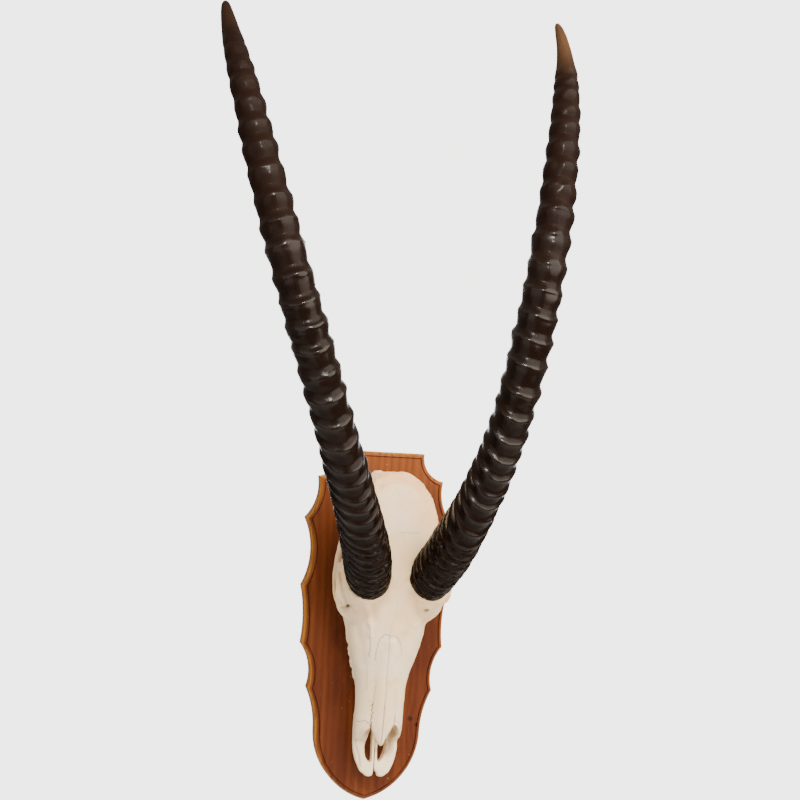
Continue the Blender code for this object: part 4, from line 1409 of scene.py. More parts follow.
    def tube(self, route: Sequence[tuple]) -> bpy.types.Mesh:
        """Build a round bar of changing radius along a smooth route.

        Args:
            route: its (x, z, height, radius) stations.

        Returns:
            The mesh.
        """
        last = self.tube_steps * (len(route) - 1)
        stops = [step / self.tube_steps for step in range(last + 1)]
        lanes = [[(float(index), stop[part]) for index, stop in enumerate(route)]
                 for part in range(4)]
        points = [[smooth_value(lane, stop) for lane in lanes] for stop in stops]
        centres = [place(x, z, height) for x, z, height, _ in points]
        rings = []
        for index, centre in enumerate(centres):
            ahead = centres[min(index + 1, len(centres) - 1)]
            behind = centres[max(index - 1, 0)]
            turn = (ahead - behind).to_track_quat("Z", "Y").to_matrix()
            radius = points[index][3] * CM
            rings.append([centre + turn @ Vector((radius * math.cos(angle),
                                                  radius * math.sin(angle), 0.0))
                          for angle in turns(self.tube_sides)])
        return skinned(rings)

    def ball(self, centre: Place, radii: Place) -> bpy.types.Mesh:
        """Build an egg.

        Args:
            centre: its middle.
            radii: its radii along x, z and height.

        Returns:
            The mesh.
        """
        bm = bmesh.new()
        bmesh.ops.create_uvsphere(bm, u_segments=self.ball_sides, v_segments=self.ball_rings,
                                  radius=CM)
        bmesh.ops.scale(bm, verts=bm.verts, vec=(radii[0], radii[2], radii[1]))
        bmesh.ops.translate(bm, verts=bm.verts, vec=place(*centre))
        return outward_mesh(bm)

    def orbit_rim(self, side: Side) -> bpy.types.Mesh:
        """Build the bony ring round an eye socket.

        Args:
            side: which socket.

        Returns:
            The mesh.
        """
        ring, rim = self.orbit_ring
        bm = bmesh.new()
        turn = Matrix.Translation((0.0, ring * CM, 0.0)) @ Matrix.Rotation(math.pi / 2, 4, "Y")
        made = bmesh.ops.create_circle(bm, cap_ends=False, segments=self.rim_sides,
                                       radius=rim * CM, matrix=turn)
        section = made["verts"] + edges_of(made["verts"])
        bmesh.ops.rotate(bm, verts=bm.verts, matrix=Matrix.Rotation(math.pi / 2, 3, "Y"))
        bmesh.ops.spin(bm, geom=section, cent=(0.0, 0.0, 0.0), axis=(1.0, 0.0, 0.0),
                       angle=2 * math.pi, steps=self.rim_steps, use_merge=True)
        lean = Matrix.Rotation(-side.value * math.radians(self.orbit_turn), 3, "Z")
        bmesh.ops.rotate(bm, verts=bm.verts, matrix=lean)
        x, z, height = self.orbit
        bmesh.ops.translate(bm, verts=bm.verts, vec=place(side.value * x, z, height))
        bmesh.ops.remove_doubles(bm, verts=bm.verts, dist=WELD)
        return outward_mesh(bm)

    def pedicle(self, side: Side) -> bpy.types.Mesh:
        """Build the stump of the forehead that bears a horn.

        Args:
            side: which horn.

        Returns:
            The mesh.
        """
        horn = self.horns[side]
        direction = horn.direction(0.0)
        base = place(horn.base_x[side], horn.base_z[side], horn.base_height)
        bm = bmesh.new()
        bmesh.ops.create_cone(bm, cap_ends=True, segments=self.pedicle_sides,
                              radius1=self.pedicle_radius * self.pedicle_flare * CM,
                              radius2=self.pedicle_radius * CM, depth=self.pedicle_length * CM)
        bmesh.ops.scale(bm, verts=bm.verts, vec=(1.0, horn.depth_ratio[0][1], 1.0))
        centre = base - direction * (self.pedicle_length / 2 - self.pedicle_rise) * CM
        turn = direction.to_track_quat("Z", "Y").to_matrix().to_4x4()
        bmesh.ops.transform(bm, verts=bm.verts, matrix=Matrix.Translation(centre) @ turn)
        return outward_mesh(bm)

    def flat(self, outline: Sequence[Station], thick: float, height: float) -> bpy.types.Mesh:
        """Build a flat bone or cutter at the end of the nose, lying on the nose's slope.

        Args:
            outline: its (x, z) points.
            thick: its thickness.
            height: the height of its middle.

        Returns:
            The mesh.
        """
        half = thick * CM / 2
        bm = bmesh.new()
        edges = add_ring(bm, [Vector((x * CM, -half, z * CM)) for x, z in outline])
        face = bmesh.ops.edgeloop_fill(bm, edges=edges)["faces"]
        made = bmesh.ops.extrude_face_region(bm, geom=face)["geom"]
        moved = [item for item in made if isinstance(item, bmesh.types.BMVert)]
        bmesh.ops.translate(bm, verts=moved, vec=(0.0, 2 * half, 0.0))
        pivot = Matrix.Translation((0.0, 0.0, self.nose_plate_pivot * CM))
        tilt = Matrix.Rotation(math.radians(-self.nose_plate_slope), 4, "X")
        lift = Matrix.Translation(place(0.0, 0.0, height))
        bmesh.ops.transform(bm, verts=bm.verts, matrix=lift @ pivot @ tilt @ pivot.inverted())
        return outward_mesh(bm)

    def nose_opening(self, outline: Sequence[Station], height: float) -> bpy.types.Mesh:
        """Build the cutter of an opening in the nose, which leans as the nose does.

        Args:
            outline: its (x, z) points.
            height: the height of its middle.

        Returns:
            The cutter's mesh.
        """
        start, share = self.drift
        leaning = [(x + share * max(0.0, start - z), z) for x, z in outline]
        return self.flat(leaning, self.nose_cut_depth, height)

    def body(self) -> bpy.types.Mesh:
        """Build the long body of the skull, hollow and open at the nose.

        Returns:
            The mesh.
        """
        rings = [self.oval(*section, self.body_sides) for section in self.sections]
        piece = Workpiece(skinned(rings))
        size = self.nose_cut_size * CM
        bm = bmesh.new()
        bmesh.ops.create_cube(bm, size=size)
        bmesh.ops.translate(bm, verts=bm.verts, vec=(0.0, -size / 2, -size / 2))
        slant = Matrix.Rotation(math.radians(90 - self.nose_cut_angle), 3, "X")
        bmesh.ops.rotate(bm, verts=bm.verts, matrix=slant)
        bmesh.ops.translate(bm, verts=bm.verts, vec=place(0.0, *self.nose_cut_top))
        cavity = skinned([self.oval(*section, self.cavity_sides) for section in self.cavity])
        cavity.transform(Matrix.Translation((self.cavity_shift * CM, 0.0, 0.0)))
        return piece.cut([cavity, outward_mesh(bm)]).release()

    def forms(self) -> list[bpy.types.Mesh]:
        """Build the overlapping forms that grow together into the skull.

        Returns:
            Their meshes.
        """
        outline = self.nose_plate + tuple((-x, z) for x, z in reversed(self.nose_plate))
        made = [self.body(),
                self.flat(outline, self.nose_plate_thick, self.nose_plate_height),
                self.plate(self.roof, self.roof_drop, self.roof_thick),
                self.plate(self.nasals, self.nasals_drop, self.nasals_thick)]
        for side in Side:
            made.append(self.orbit_rim(side))
            made.append(self.pedicle(side))
            for route in self.tubes:
                made.append(self.tube(mirrored(route, side)))
            for centre, radii in (*self.balls, self.cheek_bone):
                made.append(self.ball((side.value * centre[0], *centre[1:]), radii))
        return made

    def fused(self) -> bpy.types.Mesh:
        """Fuse the forms, open the eye sockets and the spine's hole, and smooth the skin.

        Returns:
            The skin.
        """
        bm = bmesh.new()
        for mesh in self.forms():
            bm.from_mesh(mesh)
        start, share = self.drift
        for vertex in bm.verts:
            vertex.co.x += share * max(0.0, start * CM - vertex.co.z)
        x, z, height = self.orbit
        sockets = [self.ball((side.value * x, z, height), self.orbit_hollow) for side in Side]
        piece = Workpiece(mesh_of(bm)).fuse(self.voxel)
        piece.cut(sockets + [self.ball(*self.spinal_opening)]).fuse(self.voxel)
        return piece.soften(self.smooth_passes).release()

    def cut_to_fit(self, mesh: bpy.types.Mesh) -> bpy.types.Mesh:
        """Cut the slits, the gap between the tips, and the seats of the horns and the teeth.

        Args:
            mesh: the skin.

        Returns:
            The cut skin.
        """
        row = place(0.0, self.tooth_seat_z, 0.0)
        width, height, length = self.tooth_seat
        low, high = self.nose_plate_height, self.nasal_slit_height
        cutters = [self.nose_opening(self.palate_slits[side], low) for side in Side]
        cutters += [self.nose_opening(self.notch, low), self.nose_opening(self.nasal_slit, high)]
        cutters += [self.horns[side].seat(self.seat_swell, self.seat_reaches) for side in Side]
        cutters.append(box_mesh((width, height, length), row))
        return Workpiece(mesh).cut(cutters).release()

    def line_distance(self, spots: np.ndarray, mark: Mark) -> np.ndarray:
        """Measure how far points lie from a mark, seen from the front.

        Args:
            spots: (n, 3) places as x, z and height in cm.
            mark: the line.

        Returns:
            n distances in cm.
        """
        wave = np.sin(spots[:, 1] * 9.0) + 0.6 * np.sin(spots[:, 1] * 23.0 + 1.0)
        wave += 0.5 * np.sin(spots[:, 0] * 11.0 + 2.0)
        flat = np.stack([spots[:, 0] + mark.waver * wave * 0.6,
                         spots[:, 1] + mark.waver * 0.5 * np.sin(spots[:, 0] * 13.0)], axis=1)
        best = np.full(len(flat), np.inf)
        for start, end in zip(mark.route, mark.route[1:]):
            origin, run = np.array(start), np.array(end) - np.array(start)
            share = np.clip((flat - origin) @ run / (run @ run), 0.0, 1.0)
            gap = np.linalg.norm(flat - origin - share[:, None] * run, axis=1)
            best = np.minimum(best, gap)
        return best

    def places_of(self, bm: bmesh.types.BMesh) -> tuple[np.ndarray, np.ndarray]:
        """Read where the vertices lie and which way they face.

        Args:
            bm: the skin.

        Returns:
            Each vertex's (x, z, height) in cm, and its direction in the same order.
        """
        points = np.array([vertex.co for vertex in bm.verts]) / CM
        facing = np.array([vertex.normal for vertex in bm.verts])
        spots = np.stack([points[:, 0], points[:, 2], -points[:, 1] - SHIELD_THICK], axis=1)
        return spots, np.stack([facing[:, 0], facing[:, 2], -facing[:, 1]], axis=1)

    def refine(self, bm: bmesh.types.BMesh) -> None:
        """Split the faces along the narrow marks, so that a groove has faces of its own.

        Args:
            bm: the skin, which is changed.
        """
        bm.normal_update()
        spots, facing = self.places_of(bm)
        near = np.zeros(len(spots), bool)
        for mark in self.marks:
            if mark.half_width < self.fine_under:
                near |= self.line_distance(spots, mark) < mark.half_width + self.fine_margin
        near &= (facing[:, 2] > self.fine_facing) & (spots[:, 2] > self.fine_height)
        bm.verts.ensure_lookup_table()
        chosen = [edge for edge in bm.edges
                  if near[edge.verts[0].index] and near[edge.verts[1].index]]
        bmesh.ops.subdivide_edges(bm, edges=chosen, cuts=2, use_grid_fill=True, smooth=0.0)

    def noise_at(self, spots: np.ndarray, scale: float, seed: float) -> np.ndarray:
        """Return soft noise, about -0.5 to 0.5, with lumps of 1 / scale cm."""
        shift = Vector((seed, seed * 0.7, -seed))
        return np.array([noise.noise(Vector(spot) * scale + shift) for spot in spots])

    def roughness(self, spots: np.ndarray, layers: Sequence[Place]) -> np.ndarray:
        """Return the sum of soft noises, each given as (rise in cm, scale, seed)."""
        return sum(rise * self.noise_at(spots, scale, seed) for rise, scale, seed in layers)

    def carve(self, bm: bmesh.types.BMesh) -> None:
        """Move the skin in and out by the marks, spots and roughness, and keep their tints.

        Args:
            bm: the skin, which is changed.
        """
        bm.normal_update()
        spots, facing = self.places_of(bm)
        front = ramp(facing[:, 2], *self.front_facing) * (spots[:, 2] > self.front_height)
        rise = self.roughness(spots, self.bone_noise)
        rise += self.roughness(spots, self.crown_noise) * ramp(spots[:, 1], *self.crown_rugged)
        tints = {tint: np.zeros(len(spots)) for tint in Tint}
        for mark in self.marks:
            gap = self.line_distance(spots, mark)
            rise += mark.rise * bells(gap, mark.half_width) * front
            wide = bells(gap, mark.half_width * self.tint_spread) * front
            tints[mark.tint] = np.maximum(tints[mark.tint], wide * mark.stain)
        height, radius, swell = self.root_bump
        roots = tuple(Spot((-side.value * x, z, height), radius, rise=swell)
                      for side in Side for x, z in self.root_bumps)
        for spot in self.spots + roots:
            gap = np.linalg.norm(spots - np.array(spot.centre), axis=1)
            shape = bells(gap, spot.radius)
            rise += spot.rise * shape
            tints[spot.tint] = np.maximum(tints[spot.tint], shape * spot.strength)
        rise += self.nasal_swell(spots) * front
        rise += self.coronet(spots)
        # Painted shade, with tan stain, in the hollows and under the bone.
        tints[Tint.STAIN] = np.maximum(tints[Tint.STAIN], self.hollow_shade_and_stain(spots, facing))
        share = ramp(spots[:, 1], *self.warm_from)
        tints[Tint.WARM] += self.warm_share * share * (0.8 + self.noise_at(spots, 0.3, 17.0))
        layers = [bm.verts.layers.float.new(tint.value) for tint in Tint]
        for index, vertex in enumerate(bm.verts):
            vertex.co += vertex.normal * float(rise[index]) * CM
            for tint, layer in zip(Tint, layers):
                vertex[layer] = float(min(max(tints[tint][index], 0.0), 1.0))

    def nasal_swell(self, spots: np.ndarray) -> np.ndarray:
        """Work out the low roof of each nasal bone, either side of their seam.

        Args:
            spots: (n, 3) places as x, z and height in cm.

        Returns:
            n rises in cm.
        """
        start, share, length = self.nasal_seam
        off = np.abs(spots[:, 0] - start - share * np.clip(-spots[:, 1], 0.0, length))
        reach = ramp(spots[:, 1], *self.nasal_swell_from) * (spots[:, 1] > self.nasal_swell_end)
        away, half_width, rise = self.nasal_bulge
        return rise * np.clip(1.0 - ((off - away) / half_width) ** 2, 0.0, 1.0) * reach

    def coronet(self, spots: np.ndarray) -> np.ndarray:
        """Work out the knobbly bone in a narrow collar round each horn's foot.

        Args:
            spots: (n, 3) places as x, z and height in cm.

        Returns:
            n rises in cm.
        """
        rise = np.zeros(len(spots))
        reach, wide, deep = self.collar
        for side, horn in self.horns.items():
            base = np.array([horn.base_x[side], horn.base_z[side], horn.base_height])
            way = horn.direction(0.0)
            axis = np.array([way.x, way.z, -way.y])
            along = (spots - base) @ axis
            off = np.linalg.norm(spots - base - along[:, None] * axis, axis=1)
            collar = bells(off - reach, wide) * bells(along, deep)
            rise += collar * (0.05 + 0.16 * self.noise_at(spots, 2.6, 5.0))
        return rise

    def hollow_shade_and_stain(self, spots: np.ndarray, facing: np.ndarray) -> np.ndarray:
        """Work out the tan inside the nose, in the eye sockets and on the underside: painted shade
        in these hollows and under the bone, with tan stain.

        Args:
            spots: (n, 3) places as x, z and height in cm.
            facing: (n, 3) directions in the same order.

        Returns:
            n tints, 0 to 1.
        """
        x, z, height = spots.T
        middle = self.cavity_shift + self.drift[1] * np.clip(self.drift[0] - z, 0.0, None)
        inward = facing[:, 0] * np.sign(middle - x)
        nose = (np.abs(x - middle) < self.shade_and_stain_width) & within(z, self.shade_and_stain_z)
        inside = nose & within(height, self.shade_and_stain_height) & (inward > self.shade_and_stain_facing)
        # Painted shade and tan stain on the inner walls of the nose.
        stain = self.shade_and_stain_share * inside * (0.6 + 0.8 * self.noise_at(spots, 0.8, 21.0))
        # Painted shade in the eye sockets.
        deep, reach = self.socket_shade_and_stain
        for side in Side:
            centre = np.array([side.value * (self.orbit[0] - deep), *self.orbit[1:]])
            gap = np.linalg.norm(spots - centre, axis=1)
            stain = np.maximum(stain, self.shade_and_stain_share * np.exp(-(gap / reach) ** 4))
        # Painted shade and stain on the faces that look toward the wall.
        return np.maximum(stain, np.clip(-facing[:, 2], 0.0, 1.0) * self.under_shade_and_stain)

    def build(self, material: bpy.types.Material) -> None:
        """Show the skull.

        Args:
            material: its finish.
        """
        bm = bmesh.new()
        bm.from_mesh(self.cut_to_fit(self.fused()))
        self.refine(bm)
        self.carve(bm)
        show("skull_bone", outward_mesh(bm), material, ["skull"], crisp=60.0)


@dataclass
class Shield:
    """The board: a scalloped outline, a routed edge and a pocket at the back for the hanger.

    Each step of the profile is (inset, climb, how golden, how dark), from the slab's top edge.
    """

    corners: tuple[Station, ...] = ((6.1, 24.8), (9.15, 20.9), (10.8, 14.9), (10.8, 5.2),
                                    (10.4, -3.1), (9.2, -9.4), (7.75, -15.4))
    hollows: tuple[float, ...] = (1.0, 0.75, 1.15, 0.4, 0.8, 0.35)
    foot_centre: Station = (-2.45, -15.4)
    foot_radius: float = 10.2
    hollow_steps: int = 14
    foot_steps: int = 24
    slab: float = 1.6
    profile: tuple[tuple[float, float, float, float], ...] = (
        (0.03, 0.13, 1.0, 0.0), (0.06, 0.12, 0.9, 0.0), (0.09, 0.12, 0.6, 0.0),
        (0.1, 0.1, 0.25, 0.1), (0.1, 0.08, 0.05, 0.2), (0.09, 0.05, 0.0, 0.3),
        (0.06, 0.02, 0.0, 0.3), (0.04, -0.02, 0.0, 0.5), (0.02, -0.06, 0.0, 1.0),
        (0.02, -0.09, 0.0, 1.0), (0.03, -0.02, 0.0, 0.8), (0.03, 0.05, 0.0, 0.4),
        (0.04, 0.12, 0.0, 0.1))
    pocket: Place = (4.66, 0.76, 1.76)
    pocket_rounding: float = 0.2
    well: Place = (1.8, 1.9, 1.36)
    well_rounding: float = 0.6
    screw_hole: Place = (0.19, -0.1, 1.53)
    hole_steps: int = 24

    def circles(self, inset: float) -> list[Place]:
        """Return the circles of the hollows and the foot, moved inward.

        Args:
            inset: how far inward, in cm.

        Returns:
            Each circle's centre x, centre z and radius, from the top hollow down to the foot.
        """
        found = []
        for (x0, z0), (x1, z1), depth in zip(self.corners, self.corners[1:], self.hollows):
            chord = math.hypot(x1 - x0, z1 - z0)
            radius = (chord ** 2 / 4 + depth ** 2) / (2 * depth)
            away = (radius - depth) / chord
            found.append(((x0 + x1) / 2 - (z1 - z0) * away, (z0 + z1) / 2 + (x1 - x0) * away,
                          radius + inset))
        return found + [(*self.foot_centre, self.foot_radius - inset)]

    def meeting(self, first: Place, second: Place, near: Station) -> Station:
        """Find where two circles cross.

        Args:
            first: the first circle.
            second: the second circle.
            near: a point close to the wanted crossing.

        Returns:
            The crossing nearer to that point.
        """
        gap = math.hypot(second[0] - first[0], second[1] - first[1])
        along = (first[2] ** 2 - second[2] ** 2 + gap ** 2) / (2 * gap)
        off = math.sqrt(max(first[2] ** 2 - along ** 2, 0.0))
        way_x, way_z = (second[0] - first[0]) / gap, (second[1] - first[1]) / gap
        found = [(first[0] + along * way_x + turn * off * way_z,
                  first[1] + along * way_z - turn * off * way_x) for turn in (1, -1)]
        return min(found, key=lambda point: math.dist(point, near))

    def arc(self, circle: Place, start: Station, end: Station, steps: int) -> list[Station]:
        """Lay out an arc the short way round, without its end point.

        Args:
            circle: the circle that it lies on.
            start: where it starts.
            end: where it ends.
            steps: how many points it has.

        Returns:
            Its points.
        """
        x, z, radius = circle
        first = math.atan2(start[1] - z, start[0] - x)
        turn = math.remainder(math.atan2(end[1] - z, end[0] - x) - first, 2 * math.pi)
        return [(x + radius * math.cos(first + turn * step / steps),
                 z + radius * math.sin(first + turn * step / steps)) for step in range(steps)]

    def outline(self, inset: float) -> list[Station]:
        """Lay out the board's outline, moved inward.

        Args:
            inset: how far inward, in cm.

        Returns:
            Its points, clockwise from the top right corner.
        """
        circles = self.circles(inset)
        x, z, radius = circles[0]
        top = self.corners[0][1] - inset
        corners = [(x - math.sqrt(radius ** 2 - (top - z) ** 2), top)]
        for first, second, near in zip(circles, circles[1:], self.corners[1:]):
            corners.append(self.meeting(first, second, near))
        half: list[Station] = []
        for circle, start, end in zip(circles, corners, corners[1:]):
            half += self.arc(circle, start, end, self.hollow_steps)
        x, z, radius = circles[-1]
        tip = (0.0, z - math.sqrt(radius ** 2 - x ** 2))
        half += self.arc(circles[-1], corners[-1], tip, self.foot_steps)
        return half + [tip] + [(-x, z) for x, z in reversed(half)]

    def mesh(self) -> bpy.types.Mesh:
        """Raise the board from its outline, ring by ring up the routed edge.

        Returns:
            The board's mesh, with the attributes that its finish reads.
        """
        bm = bmesh.new()
        rim = bm.verts.layers.float.new("rim")
        quirk = bm.verts.layers.float.new("quirk")
        rows = [(0.0, 0.0, 0.0, 0.0), (0.0, self.slab, 1.0, 0.0)]
        for inset, climb, golden, dark in self.profile:
            rows.append((rows[-1][0] + inset, rows[-1][1] + climb, golden, dark))
        loops = []
        for inset, height, golden, dark in rows:
            points = [Vector((x, -height, z)) * CM for x, z in self.outline(inset)]
            loops.append(add_ring(bm, points))
            for vertex in {vertex for edge in loops[-1] for vertex in edge.verts}:
                vertex[rim] = golden
                vertex[quirk] = dark
        bridge(bm, loops)
        return outward_mesh(bm)

    def cutters(self) -> list[bpy.types.Mesh]:
        """Build the cutters of the pocket, the well behind the slot and the screw holes.

        Returns:
            The cutters' meshes.
        """
        centre = Vector((0.0, 0.0, HANGER_Z * CM))
        return [box_mesh(self.pocket, centre, self.pocket_rounding),
                box_mesh(self.well, centre, self.well_rounding),
                *(bore(self.screw_hole, self.hole_steps, side) for side in Side)]

    def build(self, material: bpy.types.Material) -> None:
        """Show the board."""
        mesh = Workpiece(self.mesh()).cut(self.cutters()).release()
        show("shield_board", mesh, material, ["shield"], crisp=30.0)


@dataclass
class CheekTooth:
    """One upper cheek tooth: a ribbed crown, a worn chewing face with crescents, facing the wall.

    Levels are (share of the height, scale); steps of the face are (scale, height, tint).
    """

    side: Side
    number: int
    lengths: tuple[float, ...] = (1.3, 1.4, 1.35, 1.8, 2.15, 2.2)
    widths: tuple[float, ...] = (1.0, 1.2, 1.3, 1.55, 1.65, 1.55)
    row: tuple[Station, ...] = ((-8.9, 1.9), (-6.5, 2.35), (-3.0, 2.9), (0.0, 3.05), (1.6, 2.95))
    row_start: float = -8.9
    height: float = 1.65
    gap: float = 0.03
    sides: int = 72
    corner_power: float = 5.0
    reach: float = 0.93
    rib: float = 0.05
    cusp: float = 0.05
    molars_from: int = 4
    levels: tuple[Station, ...] = ((1.0, 0.93), (0.8, 0.97), (0.5, 0.99), (0.25, 0.98),
                                   (0.12, 0.96), (0.07, 0.93))
    face_steps: tuple[Place, ...] = (
        (0.82, 0.04, 0.1), (0.7, 0.1, 0.9), (0.56, 0.11, 0.8), (0.46, 0.05, 0.1),
        (0.34, 0.06, 0.2), (0.22, 0.14, 1.0), (0.08, 0.14, 1.0))

    def wall(self, turn: float) -> tuple[float, float]:
        """Read the crown's outline.

        Args:
            turn: the angle round the tooth, from its outer side, in radians.

        Returns:
            The outline's reach as a share of the half size, and how deep in a groove it is.
        """
        lobes = 1 if self.number < self.molars_from else 2
        power = self.corner_power
        boxy = (abs(math.cos(turn)) ** power + abs(math.sin(turn)) ** power) ** (-1.0 / power)
        ribs = self.rib * math.cos(turn * (4 * lobes + 1)) if math.cos(turn) > 0 else 0.0
        cleft = bell(math.pi - abs(turn), 0.22) * (0.16 if lobes == 2 else 0.03)
        cleft += bell(turn, 0.1) * (0.08 if lobes == 2 else 0.0)
        deep = min(1.0, cleft * 6 + max(0.0, -ribs * 8))
        return boxy * self.reach - cleft + ribs * 0.7, deep

    def build(self, material: bpy.types.Material) -> None:
        """Show the tooth.

        Args:
            material: its finish.
        """
        start = self.row_start + sum(self.lengths[:self.number - 1])
        length, width = self.lengths[self.number - 1], self.widths[self.number - 1]
        middle = start + length / 2
        x = self.side.value * smooth_value(self.row, middle)
        half = (width / 2, length / 2 - self.gap)
        bm = bmesh.new()
        groove = bm.verts.layers.float.new("groove")
        loops = []
        side_steps = [(scale, self.height * level, 0.0) for level, scale in self.levels]
        for scale, level, tint in (*side_steps, *self.face_steps):
            ring = bmesh.ops.create_circle(bm, cap_ends=False, segments=self.sides, radius=1.0)
            for index, vertex in enumerate(ring["verts"]):
                turn = math.pi - 2 * math.pi * index / self.sides
                reach, deep = self.wall(turn)
                cusp = self.cusp * math.cos(4 * turn) if tint > 0.0 else 0.0
                vertex.co = place(x + self.side.value * math.cos(turn) * half[0] * reach * scale,
                                  middle + math.sin(turn) * half[1] * min(reach * scale, 0.99),
                                  self.gap + max(level + cusp, 0.005))
                vertex[groove] = max(deep * 0.8, tint)
            loops.append(edges_of(ring["verts"]))
        bridge(bm, loops)
        node = "cheek_tooth_%s_%d" % (self.side.label, self.number)
        show(node + "_crown", outward_mesh(bm), material, [node],
             crisp=60.0)


@dataclass
class Hanger:
    """The hanging plate with its toothed slot, and its two cross-head screws."""

    size: Place = (4.6, 0.15, 1.7)
    rounding: float = 0.3
    sunk: float = 0.2
    slot: Station = (0.9, 0.42)
    slot_rounding: float = 0.08
    tooth: float = 0.11
    teeth: int = 5
    through: float = 1.0
    screw_hole: Place = (0.2, -0.2, 0.8)
    hole_steps: int = 32
    screw_steps: int = 40
    screw_profile: tuple[Station, ...] = (
        (0.0, 0.045), (0.2, 0.05), (0.27, 0.07), (0.315, 0.105), (0.33, 0.135), (0.33, 0.165),
        (0.16, 0.168), (0.14, 0.28), (0.158, 0.31), (0.132, 0.36), (0.158, 0.42), (0.13, 0.48),
        (0.156, 0.55), (0.128, 0.62), (0.152, 0.69), (0.124, 0.76), (0.146, 0.83), (0.12, 0.9),
        (0.14, 0.97), (0.11, 1.05), (0.13, 1.13), (0.09, 1.22), (0.08, 1.3), (0.0, 1.49))
    recess: Place = (0.3, 0.055, 0.16)

    def plate(self) -> bpy.types.Mesh:
        """Build the plate, with its toothed slot and its screw holes.

        Returns:
            The mesh.
        """
        centre = Vector((0.0, -(self.sunk + self.size[1] / 2) * CM, HANGER_Z * CM))
        width, height = self.slot
        cutters = [box_mesh((width, self.through, height), centre, self.slot_rounding)]
        for step in range(self.teeth):
            along = (step - self.teeth // 2) * width / (self.teeth + 0.5)
            shift = Vector((along * CM, 0.0, height / 2 * CM))
            notch = box_mesh((self.tooth, self.through, self.tooth), Vector())
            turn = Matrix.Rotation(math.pi / 4, 4, "Y")
            notch.transform(Matrix.Translation(centre + shift) @ turn)
            cutters.append(notch)
        cutters += [bore(self.screw_hole, self.hole_steps, side) for side in Side]
        blank = box_mesh(self.size, centre, self.rounding)
        return Workpiece(blank).cut(cutters).release()

    def screw(self, side: Side) -> bpy.types.Mesh:
        """Build a screw with a cross recess in its head.

        Args:
            side: which screw.

        Returns:
            The mesh.
        """
        spot = screw_spot(side)
        long, thin, deep = self.recess
        arms = [box_mesh(size, spot) for size in ((long, 2 * deep, thin), (thin, 2 * deep, long))]
        blank = turned(self.screw_profile, self.screw_steps, spot)
        return Workpiece(blank).cut(arms).release()

    def build(self, material: bpy.types.Material) -> None:
        """Show the plate and the screws.

        Args:
            material: their finish.
        """
        show("hanger_plate_steel", self.plate(), material, ["hanger_plate"],
             crisp=30.0)
        for side in Side:
            node = "hanger_screw_" + side.label
            show(node + "_steel", self.screw(side), material, [node],
                 crisp=35.0)


@dataclass(frozen=True)
class Lamp:
    """One soft square light: places and its side are in metres, its power is in watts."""

    name: str
    spot: Place
    aim: Place
    size: float
    power: float
    colour: Colour

    def hang(self) -> None:
        """Put the light in the scene, facing what it aims at."""
        made = bpy.data.lights.new(self.name, "AREA")
        made.size = self.size
        made.energy = self.power
        made.color = self.colour
        holder = linked(self.name, made)
        holder.location = self.spot
        way = Vector(self.aim) - Vector(self.spot)
        holder.rotation_euler = way.to_track_quat("-Z", "Y").to_euler()


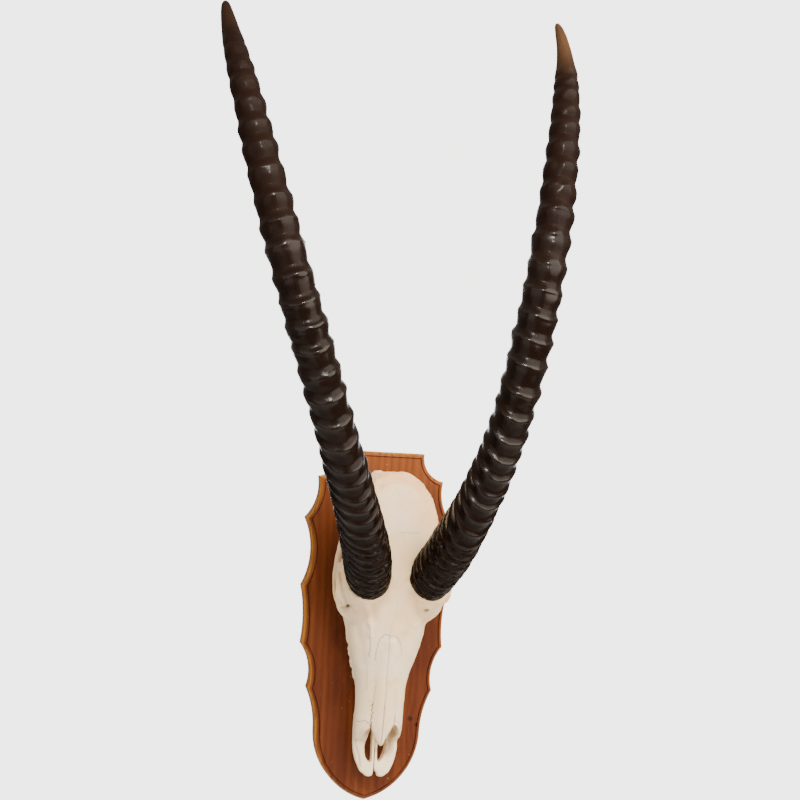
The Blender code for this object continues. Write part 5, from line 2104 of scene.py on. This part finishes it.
@dataclass(frozen=True)
class Studio:
    """The plain floor, the soft lights and the camera at the photograph's place."""

    eye: Place = (-0.5322, -2.2347, 0.3092)
    yaw: float = 13.958
    pitch: float = 0.389
    roll: float = 3.439
    lens: float = 71.08
    floor_z: float = -0.62
    floor_half: Station = (1.6, 1.3)
    floor_y: float = -0.2
    lamps: tuple[Lamp, ...] = (
        Lamp("key", (1.3, -1.75, 1.4), (0.0, 0.0, 0.1), 2.8, 185.0, (1.0, 0.91, 0.79)),
        Lamp("sparkle", (-0.45, -2.1, 1.6), (0.0, 0.0, 0.2), 0.3, 60.0, (1.0, 0.93, 0.84)),
        Lamp("fill", (-1.9, -1.6, 0.5), (0.0, 0.0, 0.1), 2.4, 27.0, (1.0, 0.94, 0.88)))
    backdrop: float = 4.0
    backdrop_way: Place = (0.2412, 0.9704, 0.0068)
    backdrop_from: Station = (0.915, 0.938)
    sky: float = 0.8
    sky_from: Station = (-0.3, 0.9)
    ground: float = 0.28
    white: Colour = (1.0, 0.995, 0.985)
    warm: Colour = (1.0, 0.93, 0.85)

    def camera(self) -> None:
        """Place the camera."""
        yaw, pitch, roll = (math.radians(angle) for angle in (self.yaw, self.pitch, self.roll))
        ahead = Vector((math.sin(yaw) * math.cos(pitch), math.cos(yaw) * math.cos(pitch),
                        math.sin(pitch)))
        right = Vector((math.cos(yaw), -math.sin(yaw), 0.0))
        up = right.cross(ahead)
        side = right * math.cos(roll) + up * math.sin(roll)
        top = up * math.cos(roll) - right * math.sin(roll)
        turn = Matrix((side, top, -ahead)).transposed().to_4x4()
        made = bpy.data.cameras.new("camera")
        made.lens = self.lens
        made.sensor_width = SENSOR
        holder = linked("camera", made)
        holder.matrix_world = Matrix.Translation(self.eye) @ turn
        bpy.context.scene.camera = holder

    def build(self) -> None:
        """Build the floor, the lights and the camera."""
        bm = bmesh.new()
        bmesh.ops.create_grid(bm, x_segments=4, y_segments=4, size=1.0)
        bmesh.ops.scale(bm, verts=bm.verts, vec=(*self.floor_half, 1.0))
        bmesh.ops.translate(bm, verts=bm.verts, vec=(0.0, self.floor_y, self.floor_z))
        mesh = mesh_of(bm)
        mesh.materials.append(PlainFinish().material())
        floor = linked("floor", mesh)
        self.surroundings()
        for lamp in self.lamps:
            lamp.hang()
        self.camera()

    def surroundings(self) -> None:
        """Light the studio softly from above, in front of a bright plain backdrop."""
        world = bpy.data.worlds.new("studio")
        graph = Graph(world, "Background")
        way = Signal(graph, graph.node("ShaderNodeTexCoord").outputs["Generated"])
        parts = graph.parts(way)
        soft = self.ground + (self.sky - self.ground) * parts[2].step(*self.sky_from)
        toward = sum((part * share for part, share in zip(parts, self.backdrop_way)), 0.0)
        behind = toward.step(*self.backdrop_from)
        graph.feed(graph.shader, {"Strength": soft + (self.backdrop - soft) * behind,
                                  "Color": graph.mix(behind, self.warm, self.white)})
        bpy.context.scene.world = world


def main() -> None:
    """Build every piece in order."""
    logging.basicConfig(level=logging.INFO, format="%(name)s %(message)s")
    Studio().build()
    Shield().build(WoodFinish().material())
    Hanger().build(SteelFinish().material())
    horn_material = HornFinish().material()
    horns = {side: Horn(side) for side in Side}
    for horn in horns.values():
        horn.build(horn_material)
    enamel = EnamelFinish().material()
    for side in Side:
        for number in range(1, TEETH_A_SIDE + 1):
            CheekTooth(side, number).build(enamel)
    Skull(horns).build(BoneFinish().material())


if __name__ == "__main__":
    main()
